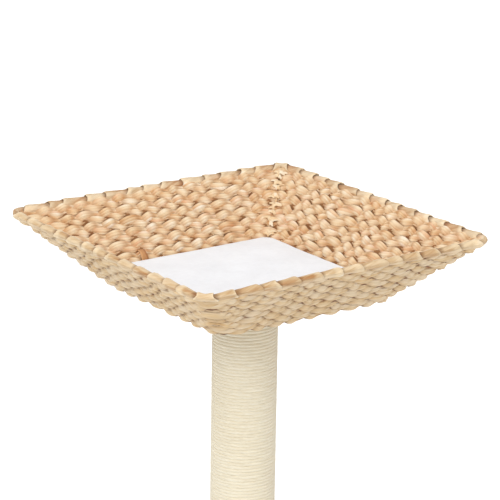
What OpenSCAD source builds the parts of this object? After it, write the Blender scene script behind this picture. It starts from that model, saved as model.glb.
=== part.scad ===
// Cat scratcher: a square flared basket of plaited leaf rows on a rope wound post.
// Millimetres, +Z up, origin on the ground under the post, front towards -Y.

/* [Basket rim] */
// Half width of the rim, to the centre line of its wire
rim_half = 180; // [165:1:240]
// Corner radius of the rim's centre line, shared by all the rows
corner_r = 15; // [12:1:25]
// Diameter of the rim's wire
rim_rod_d = 5; // [3:0.5:6]
// Diameter over the leaf band wound round the rim
rim_d = 11; // [9:0.5:14]
// Clearance between the rim's wire and the band
rim_clear = 0.15; // [0.1:0.05:0.5]

/* [Woven wall] */
// Slope of the wall from the horizontal, in degrees
wall_slope = 43; // [38:1:55]
// Height of one plaited row, along the slope
row_h = 13.2; // [12.6:0.1:18]
// Thickness of a row, through the wall
row_t = 11; // [8:0.5:12]
// Gap between a row and the next
row_gap = 0.3; // [0.2:0.1:1]

/* [Basket wires] */
// Diameter of the upright wires
stake_d = 3; // [2:0.5:4]
// Clearance round an upright wire in its rows and in the floor board
stake_clear = 0.2; // [0.1:0.05:0.4]
// Distance between the upright wires of one side
side_stake_pitch = 60; // [30:1:75]
// Gap at the weld between an upright wire and the rim's wire
weld_gap = 0.1; // [0.05:0.05:0.3]
// How far past the lowest row's middle a wire's line turns inwards
elbow_drop = 2; // [0.5:0.5:3]
// Depth of the wires' feet in the floor board
stake_grip = 14; // [8:1:30]

/* [Basket floor] */
// Thickness of the floor board
floor_t = 9; // [8:0.5:12]
// Clearance between the floor board and the lowest row
floor_clear = 0.4; // [0.3:0.1:2]

/* [Pad] */
// Height of the pad at its edge
pad_h = 5; // [4:0.5:30]
// Rise of the pad's crown above its edge
pad_crown = 1; // [0.5:0.5:10]
// How far the pad's sides draw in between its corners
pad_draw = 1.5; // [0.5:0.5:6]
// Clearance between the pad and the wall, at the pad's top edge
pad_wall_gap = 1; // [0.5:0.1:5]
// Extra rounding of the pad's corners over the wall's
pad_round = 6; // [2:0.5:20]
// Radius by which the pad's edge rolls in
pad_roll = 1.6; // [0.8:0.1:3]
// Thickness of the pad's cover
pad_skin = 1; // [0.6:0.1:1.4]
// Clearance between the foam and its cover
foam_gap = 0.3; // [0.2:0.1:0.5]
// Clearance between the pad and the floor board
pad_rest = 0.3; // [0.2:0.1:0.5]

/* [Post] */
// Length of the post between base and basket
post_len = 500; // [300:10:700]
// Outside diameter of the cardboard tube
tube_d = 62; // [50:1:100]
// Wall of the cardboard tube
tube_wall = 4; // [2.5:0.5:8]
// Clearance between a plug and the tube
plug_clear = 0.1; // [0.05:0.05:0.4]
// Wood left between the end of a bolt's hole and the end of its plug
plug_web = 7; // [3:1:30]

/* [Sisal rope] */
// Diameter of the rope, pulled tight
rope_d = 3.6; // [3:0.1:8]
// Gap between two turns
rope_gap = 0.5; // [0.45:0.05:1]
// Clearance between the rope and the tube
rope_seat = 0.1; // [0.05:0.05:0.4]
// Gap between the top turn and the basket's floor board
rope_top_gap = 0.4; // [0.3:0.1:2]
// Gap between the lowest full turn and the plain winding under it
rope_ramp_gap = 0.3; // [0.2:0.1:0.4]
// Direction from the post's axis in which both rope ends lie, in degrees
rope_end_angle = 120; // [90:5:160]

/* [Post bolts] */
// Diameter of the bolts
bolt_d = 8; // [6:0.5:9]
// Length of a bolt, with its countersunk head
bolt_len = 35; // [33:1:45]
// Diameter of the bolt's head
bolt_head_d = 16; // [13:0.5:18]
// Width across flats of the hexagon socket
bolt_socket = 5; // [4:0.5:6]
// Depth of the hexagon socket
bolt_socket_h = 2.8; // [2:0.1:3.5]
// Clearance round a bolt in its boards
bolt_clear = 0.3; // [0.2:0.05:0.6]
// Clearance between a bolt's end and the end of its hole
bolt_tip_clear = 2; // [1:0.5:5]
// Clearance between a bolt and its threaded insert
thread_clear = 0.1; // [0.05:0.05:0.2]
// Outside diameter of the threaded inserts
insert_d = 12; // [11.5:0.5:16]
// Length of the threaded inserts
insert_len = 15; // [10:1:20]
// Diameter of the inserts' collar
insert_collar_d = 18; // [17:0.5:24]
// Thickness of the inserts' collar
insert_collar_t = 1.5; // [1:0.1:3]
// Clearance round an insert in its plug
insert_clear = 0.1; // [0.05:0.05:0.3]

/* [Plug nails] */
// Nails in each plug
nail_count = 3; // [2:1:6]
// Diameter of the nails
nail_d = 1.8; // [1.2:0.1:3]
// Length of the nails
nail_len = 16; // [10:1:20]
// Diameter of the nails' heads
nail_head_d = 4; // [3.5:0.5:6]
// Thickness of the nails' heads
nail_head_t = 0.8; // [0.5:0.1:1.5]
// Distance from the end of the tube to the nails
nail_inset = 22; // [18:1:30]
// Clearance round the nails
nail_clear = 0.1; // [0.05:0.05:0.2]

/* [Base] */
// Width and depth of the base board
base_w = 400; // [360:5:600]
// Thickness of the base board
base_t = 15; // [12:1:25]
// Corner radius of the base board
base_corner = 12; // [6:1:40]
// Thickness of the plush cover
cover_t = 2.5; // [1.5:0.5:4]
// Width of the cover's hem under the board
hem_w = 30; // [24:1:40]
// Thickness of the liner sheet under the board
liner_t = 1.2; // [0.8:0.1:2]
// Clearance between the liner and the hem
liner_gap = 1; // [0.5:0.5:3]

/* [Feet] */
// Diameter of the feet
foot_d = 24; // [18:1:40]
// Height of the feet
foot_h = 5; // [4:0.5:20]
// Distance from the board's edge to a foot's middle
foot_inset = 60; // [52:1:150]
// Diameter of the feet's screws
screw_d = 3.5; // [2.5:0.5:5]
// Length of the screws under their heads
screw_len = 12; // [8:1:16]
// Diameter of the screws' heads
screw_head_d = 7; // [6:0.5:9]
// Height of the screws' heads
screw_head_h = 2; // [1:0.1:2.5]
// Depth of a screw's head above the ground
screw_recess = 0.6; // [0.3:0.1:1]
// Clearance round the screws
screw_clear = 0.2; // [0.1:0.05:0.4]

/* [Hem staples] */
// Staples along each side of the hem
staple_count = 4; // [2:1:8]
// Distance between the staples of one side
staple_pitch = 90; // [30:5:100]
// Length of a staple's crown
staple_w = 10; // [6:1:14]
// Length of a staple's legs
staple_leg = 8; // [6:1:12]
// Thickness of the staple wire
staple_wire = 0.8; // [0.5:0.1:1.2]
// Distance from the hem's inner edge to the staples
staple_inset = 8; // [4:1:15]
// Clearance round the staples' legs
staple_clear = 0.05; // [0.05:0.05:0.2]

/* [Hidden] */
$fn = 64;

// Colours, as the photograph shows them
leaf_light = [0.89, 0.75, 0.60];
leaf_dark = [0.80, 0.66, 0.50];
rope_tone = [0.91, 0.87, 0.78];
plush_tone = [0.97, 0.96, 0.96];
board_tone = [0.78, 0.66, 0.48];
wire_tone = [0.62, 0.62, 0.64];
steel_tone = [0.75, 0.76, 0.78];
card_tone = [0.66, 0.55, 0.41];
foot_tone = [0.20, 0.20, 0.21];
foam_tone = [0.95, 0.93, 0.84];

// Cuts run this far past a face, so that no skin is left on it
cut = 1;
// The number of plaited rows, as the node list names them
row_count = 7;

// A length rounded to a hundredth, so that pieces that share it meet exactly
function tidy(length) = round(100 * length) / 100;

// Heights, from the ground up
board_z = foot_h + liner_t;
cover_top = board_z + base_t + cover_t;
hem_z = board_z - cover_t;
post_top = cover_top + post_len;
floor_top = post_top + floor_t;

// A row is a round ended bar, laid along the slope
row_r = row_t / 2;
row_flat = (row_h - row_t) / 2;

// Distance of a row's middle from the rim's, down the slope
function row_run(k) = rim_d / 2 + row_gap + row_h / 2 + (k - 1) * (row_h + row_gap);
last_run = row_run(row_count);
lowest_z = post_top + row_r + row_flat * sin(wall_slope);
rim_z = tidy(lowest_z + last_run * sin(wall_slope));
function row_half(k) = tidy(rim_half - row_run(k) * cos(wall_slope));
function row_z(k) = tidy(rim_z - row_run(k) * sin(wall_slope));

// Half width of the wall's inner face at a height
lowest_half = row_half(row_count);
function inner_half(z) = lowest_half + (z - lowest_z) / tan(wall_slope) - row_r / sin(wall_slope);

// The floor board lies inside the lowest row
floor_inset = tidy(row_flat * cos(wall_slope) + row_r + floor_clear);
floor_half = lowest_half - floor_inset;
floor_corner = corner_r - floor_inset;

// The upright wires: run down the slope, an elbow, and a foot in the floor board
stake_run = last_run + elbow_drop;
side_elbow = rim_half - stake_run * cos(wall_slope);
side_foot = side_elbow - floor_half + stake_grip;
corner_slope = atan(tan(wall_slope) / sqrt(2));
corner_run = stake_run * sin(wall_slope) / sin(corner_slope);
corner_reach = sqrt(2) * (rim_half - corner_r) + corner_r;
corner_elbow = corner_reach - corner_run * cos(corner_slope);
corner_foot = corner_elbow - sqrt(2) * (floor_half - floor_corner) - floor_corner + stake_grip;
stake_bore = stake_d + 2 * stake_clear;
stake_start = rim_rod_d / 2 + weld_gap;
// The ball of a wire's elbow is this much thicker than the wire
elbow_swell = 1.02;

// The pad's size follows the wall and the floor
pad_z = floor_top + pad_rest;
pad_half = inner_half(pad_z + pad_h) - pad_wall_gap;
pad_lean = pad_h / tan(wall_slope);
pad_corner = corner_r - row_r / sin(wall_slope) + pad_round;
pad_side_steps = 6;
pad_arc_steps = 4;
pad_edge_rings = 5;
// Rings over the crown, as shares of the pad's half width
pad_crown_shares = [0.8, 0.55, 0.28];

// The rope: its turns lie round the tube with the middle of each chord clear of it
loop_count = 24;
loop_rings = 24;
tube_sides = 6;
rope_pitch = rope_d + rope_gap;
rope_reach = (tube_d / 2 + rope_seat + rope_d / 2) / cos(180 / loop_rings);
rope_outer = rope_reach + rope_d / 2;
rope_low = post_top - rope_top_gap - rope_d / 2 - loop_count * rope_pitch;
ramp_steps = 12;
ramp_angle = 360 / ramp_steps;

// Plugs and their bolts
plug_r = tube_d / 2 - tube_wall - plug_clear;
pilot_h = bolt_len + bolt_tip_clear - min(floor_t, base_t + cover_t);
plug_len = pilot_h + plug_web;
bolt_head_h = (bolt_head_d - bolt_d) / 2;

// The base's half widths
base_half = base_w / 2;
window_half = base_half - hem_w;
foot_at = base_half - foot_inset;
staple_at = window_half + staple_inset;

// A square with rounded corners, as an exact outline
module rounded_square(half, corner) {
    square([2 * half, 2 * (half - corner)], center = true);
    square([2 * (half - corner), 2 * half], center = true);
    for (x = [-1, 1])
        for (y = [-1, 1])
            translate([x * (half - corner), y * (half - corner)])
                circle(r = corner);
}

// A square ring with round corners: its section's x points outwards and its y points up
module square_ring(half, corner, z) {
    for (side = [0 : 3])
        rotate(90 * side) {
            translate([half, half - corner, z])
                rotate([90, 0, 0])
                    linear_extrude(2 * (half - corner))
                        children();
            translate([half - corner, half - corner, z])
                rotate_extrude(angle = 90)
                    translate([corner, 0])
                        children();
        }
}

// The section of a plaited row
module row_section() {
    rotate(wall_slope) {
        square([2 * row_flat, row_t], center = true);
        for (end = [-1, 1])
            translate([end * row_flat, 0])
                circle(r = row_r);
    }
}

// An upright wire, or its hole: down the slope from the rim, then inwards to the floor board
module upright_drop(reach, slope, run, d, start = 0) {
    translate([reach, 0, rim_z])
        rotate([0, -(90 + slope), 0])
            translate([0, 0, start])
                cylinder(h = run - start, d = d);
}

module upright_foot(reach, slope, run, foot, d) {
    elbow = [reach - run * cos(slope), 0, rim_z - run * sin(slope)];
    translate(elbow)
        sphere(d = elbow_swell * d);
    translate(elbow)
        rotate([0, -90, 0])
            cylinder(h = foot, d = d);
}

// Puts its child at every wire of the four sides
module at_sides() {
    for (side = [0 : 3])
        rotate(90 * side)
            for (place = [-1 : 1])
                translate([0, place * side_stake_pitch, 0])
                    children();
}

module at_corners() {
    for (side = [0 : 3])
        rotate(90 * side + 45)
            children();
}

module drop_holes() {
    at_sides()
        upright_drop(rim_half, wall_slope, stake_run, stake_bore);
    at_corners()
        upright_drop(corner_reach, corner_slope, corner_run, stake_bore);
}

module foot_holes() {
    at_sides()
        upright_foot(rim_half, wall_slope, stake_run, side_foot + cut, stake_bore);
    at_corners()
        upright_foot(corner_reach, corner_slope, corner_run, corner_foot + cut, stake_bore);
}

// Rim

module rim_rod() {
    color(wire_tone)
        square_ring(rim_half, corner_r, rim_z)
            circle(d = rim_rod_d);
}

module rim_binding() {
    color(leaf_light)
        difference() {
            square_ring(rim_half, corner_r, rim_z)
                difference() {
                    circle(d = rim_d);
                    circle(d = rim_rod_d + 2 * rim_clear);
                }
            drop_holes();
        }
}

// Wires and rows

module corner_stakes() {
    color(wire_tone)
        at_corners() {
            upright_drop(corner_reach, corner_slope, corner_run, stake_d, stake_start);
            upright_foot(corner_reach, corner_slope, corner_run, corner_foot, stake_d);
        }
}

module side_stakes() {
    color(wire_tone)
        at_sides() {
            upright_drop(rim_half, wall_slope, stake_run, stake_d, stake_start);
            upright_foot(rim_half, wall_slope, stake_run, side_foot, stake_d);
        }
}

module weave_row(k) {
    color(k % 2 == 0 ? leaf_light : leaf_dark)
        difference() {
            square_ring(row_half(k), corner_r, row_z(k))
                row_section();
            drop_holes();
            if (k == row_count)
                foot_holes();
        }
}

// Floor board

// A bolt's hole with its countersink, through a board from its head's face at z = 0 downwards
module bolt_hole(depth) {
    translate([0, 0, -depth - cut])
        cylinder(h = depth + 2 * cut, d = bolt_d + 2 * bolt_clear);
    translate([0, 0, -bolt_head_h - bolt_clear])
        cylinder(
            h = bolt_head_h + bolt_clear,
            d1 = bolt_d,
            d2 = bolt_d + 2 * (bolt_head_h + bolt_clear)
        );
}

module basket_floor() {
    color(board_tone)
        difference() {
            translate([0, 0, post_top])
                linear_extrude(floor_t)
                    rounded_square(floor_half, floor_corner);
            translate([0, 0, floor_top])
                bolt_hole(floor_t);
            foot_holes();
        }
}

// Pad

// Outline of the pad at a height: straight sides drawn in by a shallow curve, and round corners
function pad_ring(half, corner, draw, z) = [
    for (side = [0 : 3])
        let (turn = 90 * side, flat = half - corner)
            for (p = concat(
                [for (i = [0 : pad_side_steps - 1])
                    let (t = -1 + 2 * i / pad_side_steps)
                        [half - draw * (1 - t * t), t * flat]],
                [for (i = [0 : pad_arc_steps - 1])
                    let (a = 90 * i / pad_arc_steps)
                        [flat + corner * cos(a), flat + corner * sin(a)]]
            ))
                [p[0] * cos(turn) - p[1] * sin(turn), p[0] * sin(turn) + p[1] * cos(turn), z]
];

// Rings of the pad, all drawn in by inset: up its rolled edge, then over its crown
function pad_rings(inset) =
    let (h = pad_h - 2 * inset, half = pad_half - inset, corner = pad_corner - inset)
        concat(
            [for (i = [0 : pad_edge_rings - 1])
                let (
                    a = -90 + 180 * i / (pad_edge_rings - 1),
                    rise = (1 + sin(a)) / 2,
                    in = pad_roll * (1 - cos(a)) + pad_lean * (1 - rise)
                )
                    pad_ring(half - in, corner - in / 2, pad_draw, pad_z + inset + h * rise)],
            [for (share = pad_crown_shares)
                pad_ring(half * share, corner * share, pad_draw * share,
                    pad_z + inset + h + pad_crown * (1 - share * share))]
        );

function flat_list(rings) = [for (ring = rings) for (p = ring) p];

// Triangles of a skin over rings of one size, closed by a fan at each end
function skin_faces(count, per) = concat(
    [for (r = [0 : count - 2])
        for (i = [0 : per - 1])
            let (j = (i + 1) % per, low = r * per, high = (r + 1) * per)
                each [[low + i, high + j, low + j], [low + i, high + i, high + j]]],
    [for (i = [0 : per - 1]) [i, (i + 1) % per, count * per]],
    [for (i = [0 : per - 1])
        [(count - 1) * per + (i + 1) % per, (count - 1) * per + i, count * per + 1]]
);

module skin(rings, first, last) {
    polyhedron(
        points = concat(flat_list(rings), [first, last]),
        faces = skin_faces(len(rings), len(rings[0])),
        convexity = 4
    );
}

module pad_body(inset) {
    skin(
        pad_rings(inset),
        [0, 0, pad_z + inset],
        [0, 0, pad_z + pad_h - inset + pad_crown]
    );
}

module pad_cover() {
    color(plush_tone)
        difference() {
            pad_body(0);
            pad_body(pad_skin);
        }
}

module pad_foam() {
    color(foam_tone)
        pad_body(pad_skin + foam_gap);
}

// Post

// Places its children at a bolted end of the post, with +Z pointing out of the post
module at_top_end() {
    translate([0, 0, post_top])
        children();
}

module at_bottom_end() {
    translate([0, 0, cover_top])
        rotate([180, 0, 0])
            children();
}

// Nails of one end, or the holes that they need
module nail_ring(shank_d, head_d, head_t, len) {
    for (i = [0 : nail_count - 1])
        rotate(360 * i / nail_count)
            translate([tube_d / 2, 0, -nail_inset])
                rotate([0, -90, 0]) {
                    cylinder(h = len, d = shank_d);
                    translate([0, 0, nail_head_t - head_t])
                        cylinder(h = head_t, d = head_d);
                }
}

module nail_holes() {
    nail_ring(
        nail_d + 2 * nail_clear,
        nail_head_d + 2 * nail_clear,
        nail_head_t + cut,
        nail_len + nail_clear
    );
}

module post_tube() {
    color(card_tone)
        difference() {
            translate([0, 0, cover_top])
                cylinder(h = post_len, d = tube_d);
            translate([0, 0, cover_top - cut])
                cylinder(h = post_len + 2 * cut, d = tube_d - 2 * tube_wall);
            at_top_end()
                nail_holes();
            at_bottom_end()
                nail_holes();
        }
}

module plug() {
    difference() {
        translate([0, 0, -plug_len])
            cylinder(h = plug_len, r = plug_r);
        translate([0, 0, -pilot_h])
            cylinder(h = pilot_h + cut, d = bolt_d + 2 * bolt_clear);
        translate([0, 0, -insert_len - insert_clear])
            cylinder(h = insert_len + insert_clear + cut, d = insert_d + 2 * insert_clear);
        translate([0, 0, -insert_collar_t - insert_clear])
            cylinder(h = insert_collar_t + insert_clear + cut, d = insert_collar_d + 2 * insert_clear);
        nail_holes();
    }
}

module top_plug() {
    color(board_tone)
        at_top_end()
            plug();
}

module bottom_plug() {
    color(board_tone)
        at_bottom_end()
            plug();
}

module plug_nails() {
    color(steel_tone) {
        at_top_end()
            nail_ring(nail_d, nail_head_d, nail_head_t, nail_len);
        at_bottom_end()
            nail_ring(nail_d, nail_head_d, nail_head_t, nail_len);
    }
}

module threaded_insert() {
    difference() {
        union() {
            translate([0, 0, -insert_len])
                cylinder(h = insert_len, d = insert_d);
            translate([0, 0, -insert_collar_t])
                cylinder(h = insert_collar_t, d = insert_collar_d);
        }
        translate([0, 0, -insert_len - cut])
            cylinder(h = insert_len + 2 * cut, d = bolt_d + 2 * thread_clear);
    }
}

module threaded_inserts() {
    color(steel_tone) {
        at_top_end()
            threaded_insert();
        at_bottom_end()
            threaded_insert();
    }
}

// A countersunk bolt, its head's face at z = 0 and its end below
module bolt() {
    difference() {
        union() {
            translate([0, 0, -bolt_len])
                cylinder(h = bolt_len, d = bolt_d);
            translate([0, 0, -bolt_head_h])
                cylinder(h = bolt_head_h, d1 = bolt_d, d2 = bolt_head_d);
        }
        translate([0, 0, -bolt_socket_h])
            cylinder(h = bolt_socket_h + cut, d = bolt_socket / cos(30), $fn = 6);
    }
}

module post_bolts() {
    color(steel_tone) {
        translate([0, 0, floor_top])
            bolt();
        translate([0, 0, board_z])
            rotate([180, 0, 0])
                bolt();
    }
}

// Rope

// Middle of the rope at each ring: a straight end, the turns, and a straight end
rope_along = [-sin(rope_end_angle), cos(rope_end_angle), 0];
rope_steps = loop_count * loop_rings;
function turn_angle(i) = rope_end_angle + 360 * i / loop_rings;
function turn_point(i) = [
    rope_reach * cos(turn_angle(i)),
    rope_reach * sin(turn_angle(i)),
    rope_low + rope_pitch * i / loop_rings
];
rope_path = concat(
    [turn_point(0) - rope_d * rope_along],
    [for (i = [0 : rope_steps]) turn_point(i)],
    [turn_point(rope_steps) + rope_d * rope_along]
);
function rope_out(i) =
    let (a = turn_angle(min(max(i - 1, 0), rope_steps)))
        [cos(a), sin(a), 0];
function rope_ring(i) = [
    for (s = [0 : tube_sides - 1])
        let (a = -360 * s / tube_sides)
            rope_path[i] + rope_d / 2 * (cos(a) * rope_out(i) + [0, 0, sin(a)])
];

// Least gap of the rope to itself, between points more than half a turn apart
function rope_least_gap() = min([
    for (i = [0 : len(rope_path) - 1])
        for (j = [i + loop_rings / 2 : 1 : len(rope_path) - 1])
            norm(rope_path[i] - rope_path[j])
]) - rope_d;

module rope_turns() {
    echo(least_gap_of_the_rope_to_itself = rope_least_gap());
    color(rope_tone)
        skin(
            [for (i = [0 : len(rope_path) - 1]) rope_ring(i)],
            rope_path[0],
            rope_path[len(rope_path) - 1]
        );
}

// The winding below the turns, plain, with a stepped ramp and a notch that the rope's lower end meets squarely
module rope_sleeve() {
    ramp_z = rope_low - rope_d / 2 - rope_ramp_gap;
    ring_h = ramp_z + rope_pitch * (1 - 1 / ramp_steps) - cover_top;
    color(rope_tone)
        rotate(rope_end_angle)
            difference() {
                rotate(ramp_angle / 2)
                    translate([0, 0, cover_top])
                        difference() {
                            cylinder(h = ring_h, r = rope_outer);
                            translate([0, 0, -cut])
                                cylinder(h = ring_h + 2 * cut, d = tube_d + 2 * rope_seat);
                        }
                for (i = [0 : ramp_steps - 2])
                    translate([0, 0, ramp_z + rope_pitch * i / ramp_steps])
                        linear_extrude(rope_pitch)
                            polygon(ramp_sector(i + 1));
                translate([tube_d / 2, -rope_d, ramp_z])
                    cube([rope_outer, rope_d + cut, rope_pitch]);
            }
}

// A sector of a whole number of the ramp's steps, well past the winding
function ramp_sector(steps) = concat(
    [[0, 0]],
    [for (j = [0 : steps]) 2 * rope_outer * [cos(ramp_angle * j), sin(ramp_angle * j)]]
);

// Base

module base_board() {
    color(board_tone)
        difference() {
            translate([0, 0, board_z])
                linear_extrude(base_t)
                    rounded_square(base_half, base_corner);
            translate([0, 0, board_z])
                rotate([180, 0, 0])
                    bolt_hole(base_t);
            foot_screw_holes();
            staples(staple_clear);
        }
}

module base_cover() {
    color(plush_tone)
        difference() {
            union() {
                translate([0, 0, board_z])
                    linear_extrude(base_t)
                        rounded_square(base_half + cover_t, base_corner + cover_t);
                translate([0, 0, hem_z])
                    linear_extrude(base_t + 2 * cover_t)
                        rounded_square(base_half, base_corner);
                for (z = [board_z, board_z + base_t])
                    square_ring(base_half, base_corner, z)
                        circle(r = cover_t);
            }
            translate([0, 0, board_z])
                linear_extrude(base_t)
                    rounded_square(base_half, base_corner);
            translate([0, 0, hem_z - cut])
                linear_extrude(cover_t + 2 * cut)
                    rounded_square(window_half, base_corner);
            translate([0, 0, board_z])
                cylinder(h = base_t + cover_t + cut, d = bolt_d + 2 * bolt_clear);
            staples(staple_clear);
        }
}

module base_liner() {
    color(foot_tone)
        difference() {
            translate([0, 0, foot_h])
                linear_extrude(liner_t)
                    rounded_square(window_half - liner_gap, base_corner - liner_gap);
            translate([0, 0, foot_h - cut])
                cylinder(h = liner_t + 2 * cut, d = bolt_head_d + 2 * bolt_clear);
            foot_screw_holes();
        }
}

// The hem's staples, or the slots that their legs need
module staples(clear) {
    for (side = [0 : 3])
        rotate(90 * side)
            for (i = [0 : staple_count - 1])
                translate([staple_at, (i - (staple_count - 1) / 2) * staple_pitch, hem_z - staple_wire])
                    staple(clear);
}

module staple(clear) {
    wire = staple_wire + 2 * clear;
    translate([-clear, -staple_w / 2 - clear, 0])
        cube([wire, staple_w + 2 * clear, staple_wire]);
    for (end = [-staple_w / 2, staple_w / 2 - staple_wire])
        translate([-clear, end - clear, 0])
            cube([wire, wire, staple_leg + clear]);
}

module cover_staples() {
    color(steel_tone)
        staples(0);
}

// Feet

module at_feet() {
    for (side = [0 : 3])
        rotate(90 * side)
            translate([foot_at, foot_at, 0])
                children();
}

module foot_screw_holes() {
    at_feet()
        translate([0, 0, screw_recess + screw_head_h])
            cylinder(h = screw_len + screw_clear, d = screw_d + 2 * screw_clear);
}

module feet() {
    color(foot_tone)
        at_feet()
            difference() {
                cylinder(h = foot_h, d = foot_d);
                translate([0, 0, -cut])
                    cylinder(h = foot_h + 2 * cut, d = screw_d + 2 * screw_clear);
                translate([0, 0, -cut])
                    cylinder(h = screw_recess + screw_head_h + cut, d = screw_head_d + 2 * screw_clear);
            }
}

module foot_screws() {
    color(steel_tone)
        at_feet() {
            translate([0, 0, screw_recess])
                cylinder(h = screw_head_h, d = screw_head_d);
            translate([0, 0, screw_recess])
                cylinder(h = screw_head_h + screw_len, d = screw_d);
        }
}

rim_rod();
rim_binding();
corner_stakes();
side_stakes();
weave_row(1);  // weave_row_1
weave_row(2);  // weave_row_2
weave_row(3);  // weave_row_3
weave_row(4);  // weave_row_4
weave_row(5);  // weave_row_5
weave_row(6);  // weave_row_6
weave_row(7);  // weave_row_7
basket_floor();
pad_cover();
pad_foam();
post_tube();
top_plug();
bottom_plug();
plug_nails();
threaded_inserts();
post_bolts();
rope_turns();
rope_sleeve();
base_board();
base_cover();
base_liner();
cover_staples();
feet();
foot_screws();
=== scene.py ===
"""Cat scratcher: a square basket of plaited leaf with a pad, on a rope wound post with a covered base.

Every length is in metres, but for ranges whose names end in mm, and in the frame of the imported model:
+Z up, front towards -Y, origin on the ground under the post. The woven wall, the band on the rim, the
rope, the pad and the base's cover are built here; wires, boards, tube, plugs and fasteners stay as the
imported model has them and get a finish.
"""
import logging
import math
from dataclasses import dataclass, field
from enum import Enum
from typing import Callable, Sequence

import bpy
import numpy as np
from mathutils import Matrix, Vector


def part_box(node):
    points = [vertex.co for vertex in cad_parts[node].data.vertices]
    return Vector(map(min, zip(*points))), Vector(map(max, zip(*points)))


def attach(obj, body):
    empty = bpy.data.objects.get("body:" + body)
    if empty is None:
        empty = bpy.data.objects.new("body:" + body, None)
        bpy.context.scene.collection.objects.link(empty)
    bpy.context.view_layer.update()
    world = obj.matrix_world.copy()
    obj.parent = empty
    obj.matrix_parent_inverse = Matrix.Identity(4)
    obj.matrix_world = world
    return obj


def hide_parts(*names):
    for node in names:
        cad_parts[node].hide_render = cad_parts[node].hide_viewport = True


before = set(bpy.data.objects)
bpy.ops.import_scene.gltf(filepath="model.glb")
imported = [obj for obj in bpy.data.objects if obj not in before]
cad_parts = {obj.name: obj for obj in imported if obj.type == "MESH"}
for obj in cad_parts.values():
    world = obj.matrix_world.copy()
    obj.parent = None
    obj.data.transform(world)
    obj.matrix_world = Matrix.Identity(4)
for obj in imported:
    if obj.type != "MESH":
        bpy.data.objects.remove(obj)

log = logging.getLogger("cat_scratcher")

Array = np.ndarray
Draws = np.random.Generator
Material = bpy.types.Material
Piece = bpy.types.Object
Socket = bpy.types.NodeSocket
Triple = tuple[float, float, float]
Pair = tuple[float, float]
Waves = tuple[int, int]
MM = 0.001
TURN = 2 * math.pi
WHITE: Triple = (1.0, 1.0, 1.0)
UPRIGHT = np.array([0, 0, 1.0])


def linear(value: int) -> float:
    """Turns one display channel of 0 to 255 into a linear one."""
    share = value / 255
    return share / 12.92 if share <= 0.04045 else ((share + 0.055) / 1.055) ** 2.4


def paint(red: int, green: int, blue: int) -> Triple:
    """Turns a display colour into the linear colour that shaders take."""
    return (linear(red), linear(green), linear(blue))


class Slot(Enum):
    """The material slots named for the new pieces."""

    LEAF_BAND = "leaf_band"
    LEAF_PLAIT = "leaf_plait"
    PAD_PLUSH = "pad_plush"
    SISAL = "sisal"
    BASE_PLUSH = "base_plush"


class Body(Enum):
    """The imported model's bodies."""

    STAND = "stand"
    PAD = "pad"


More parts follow.
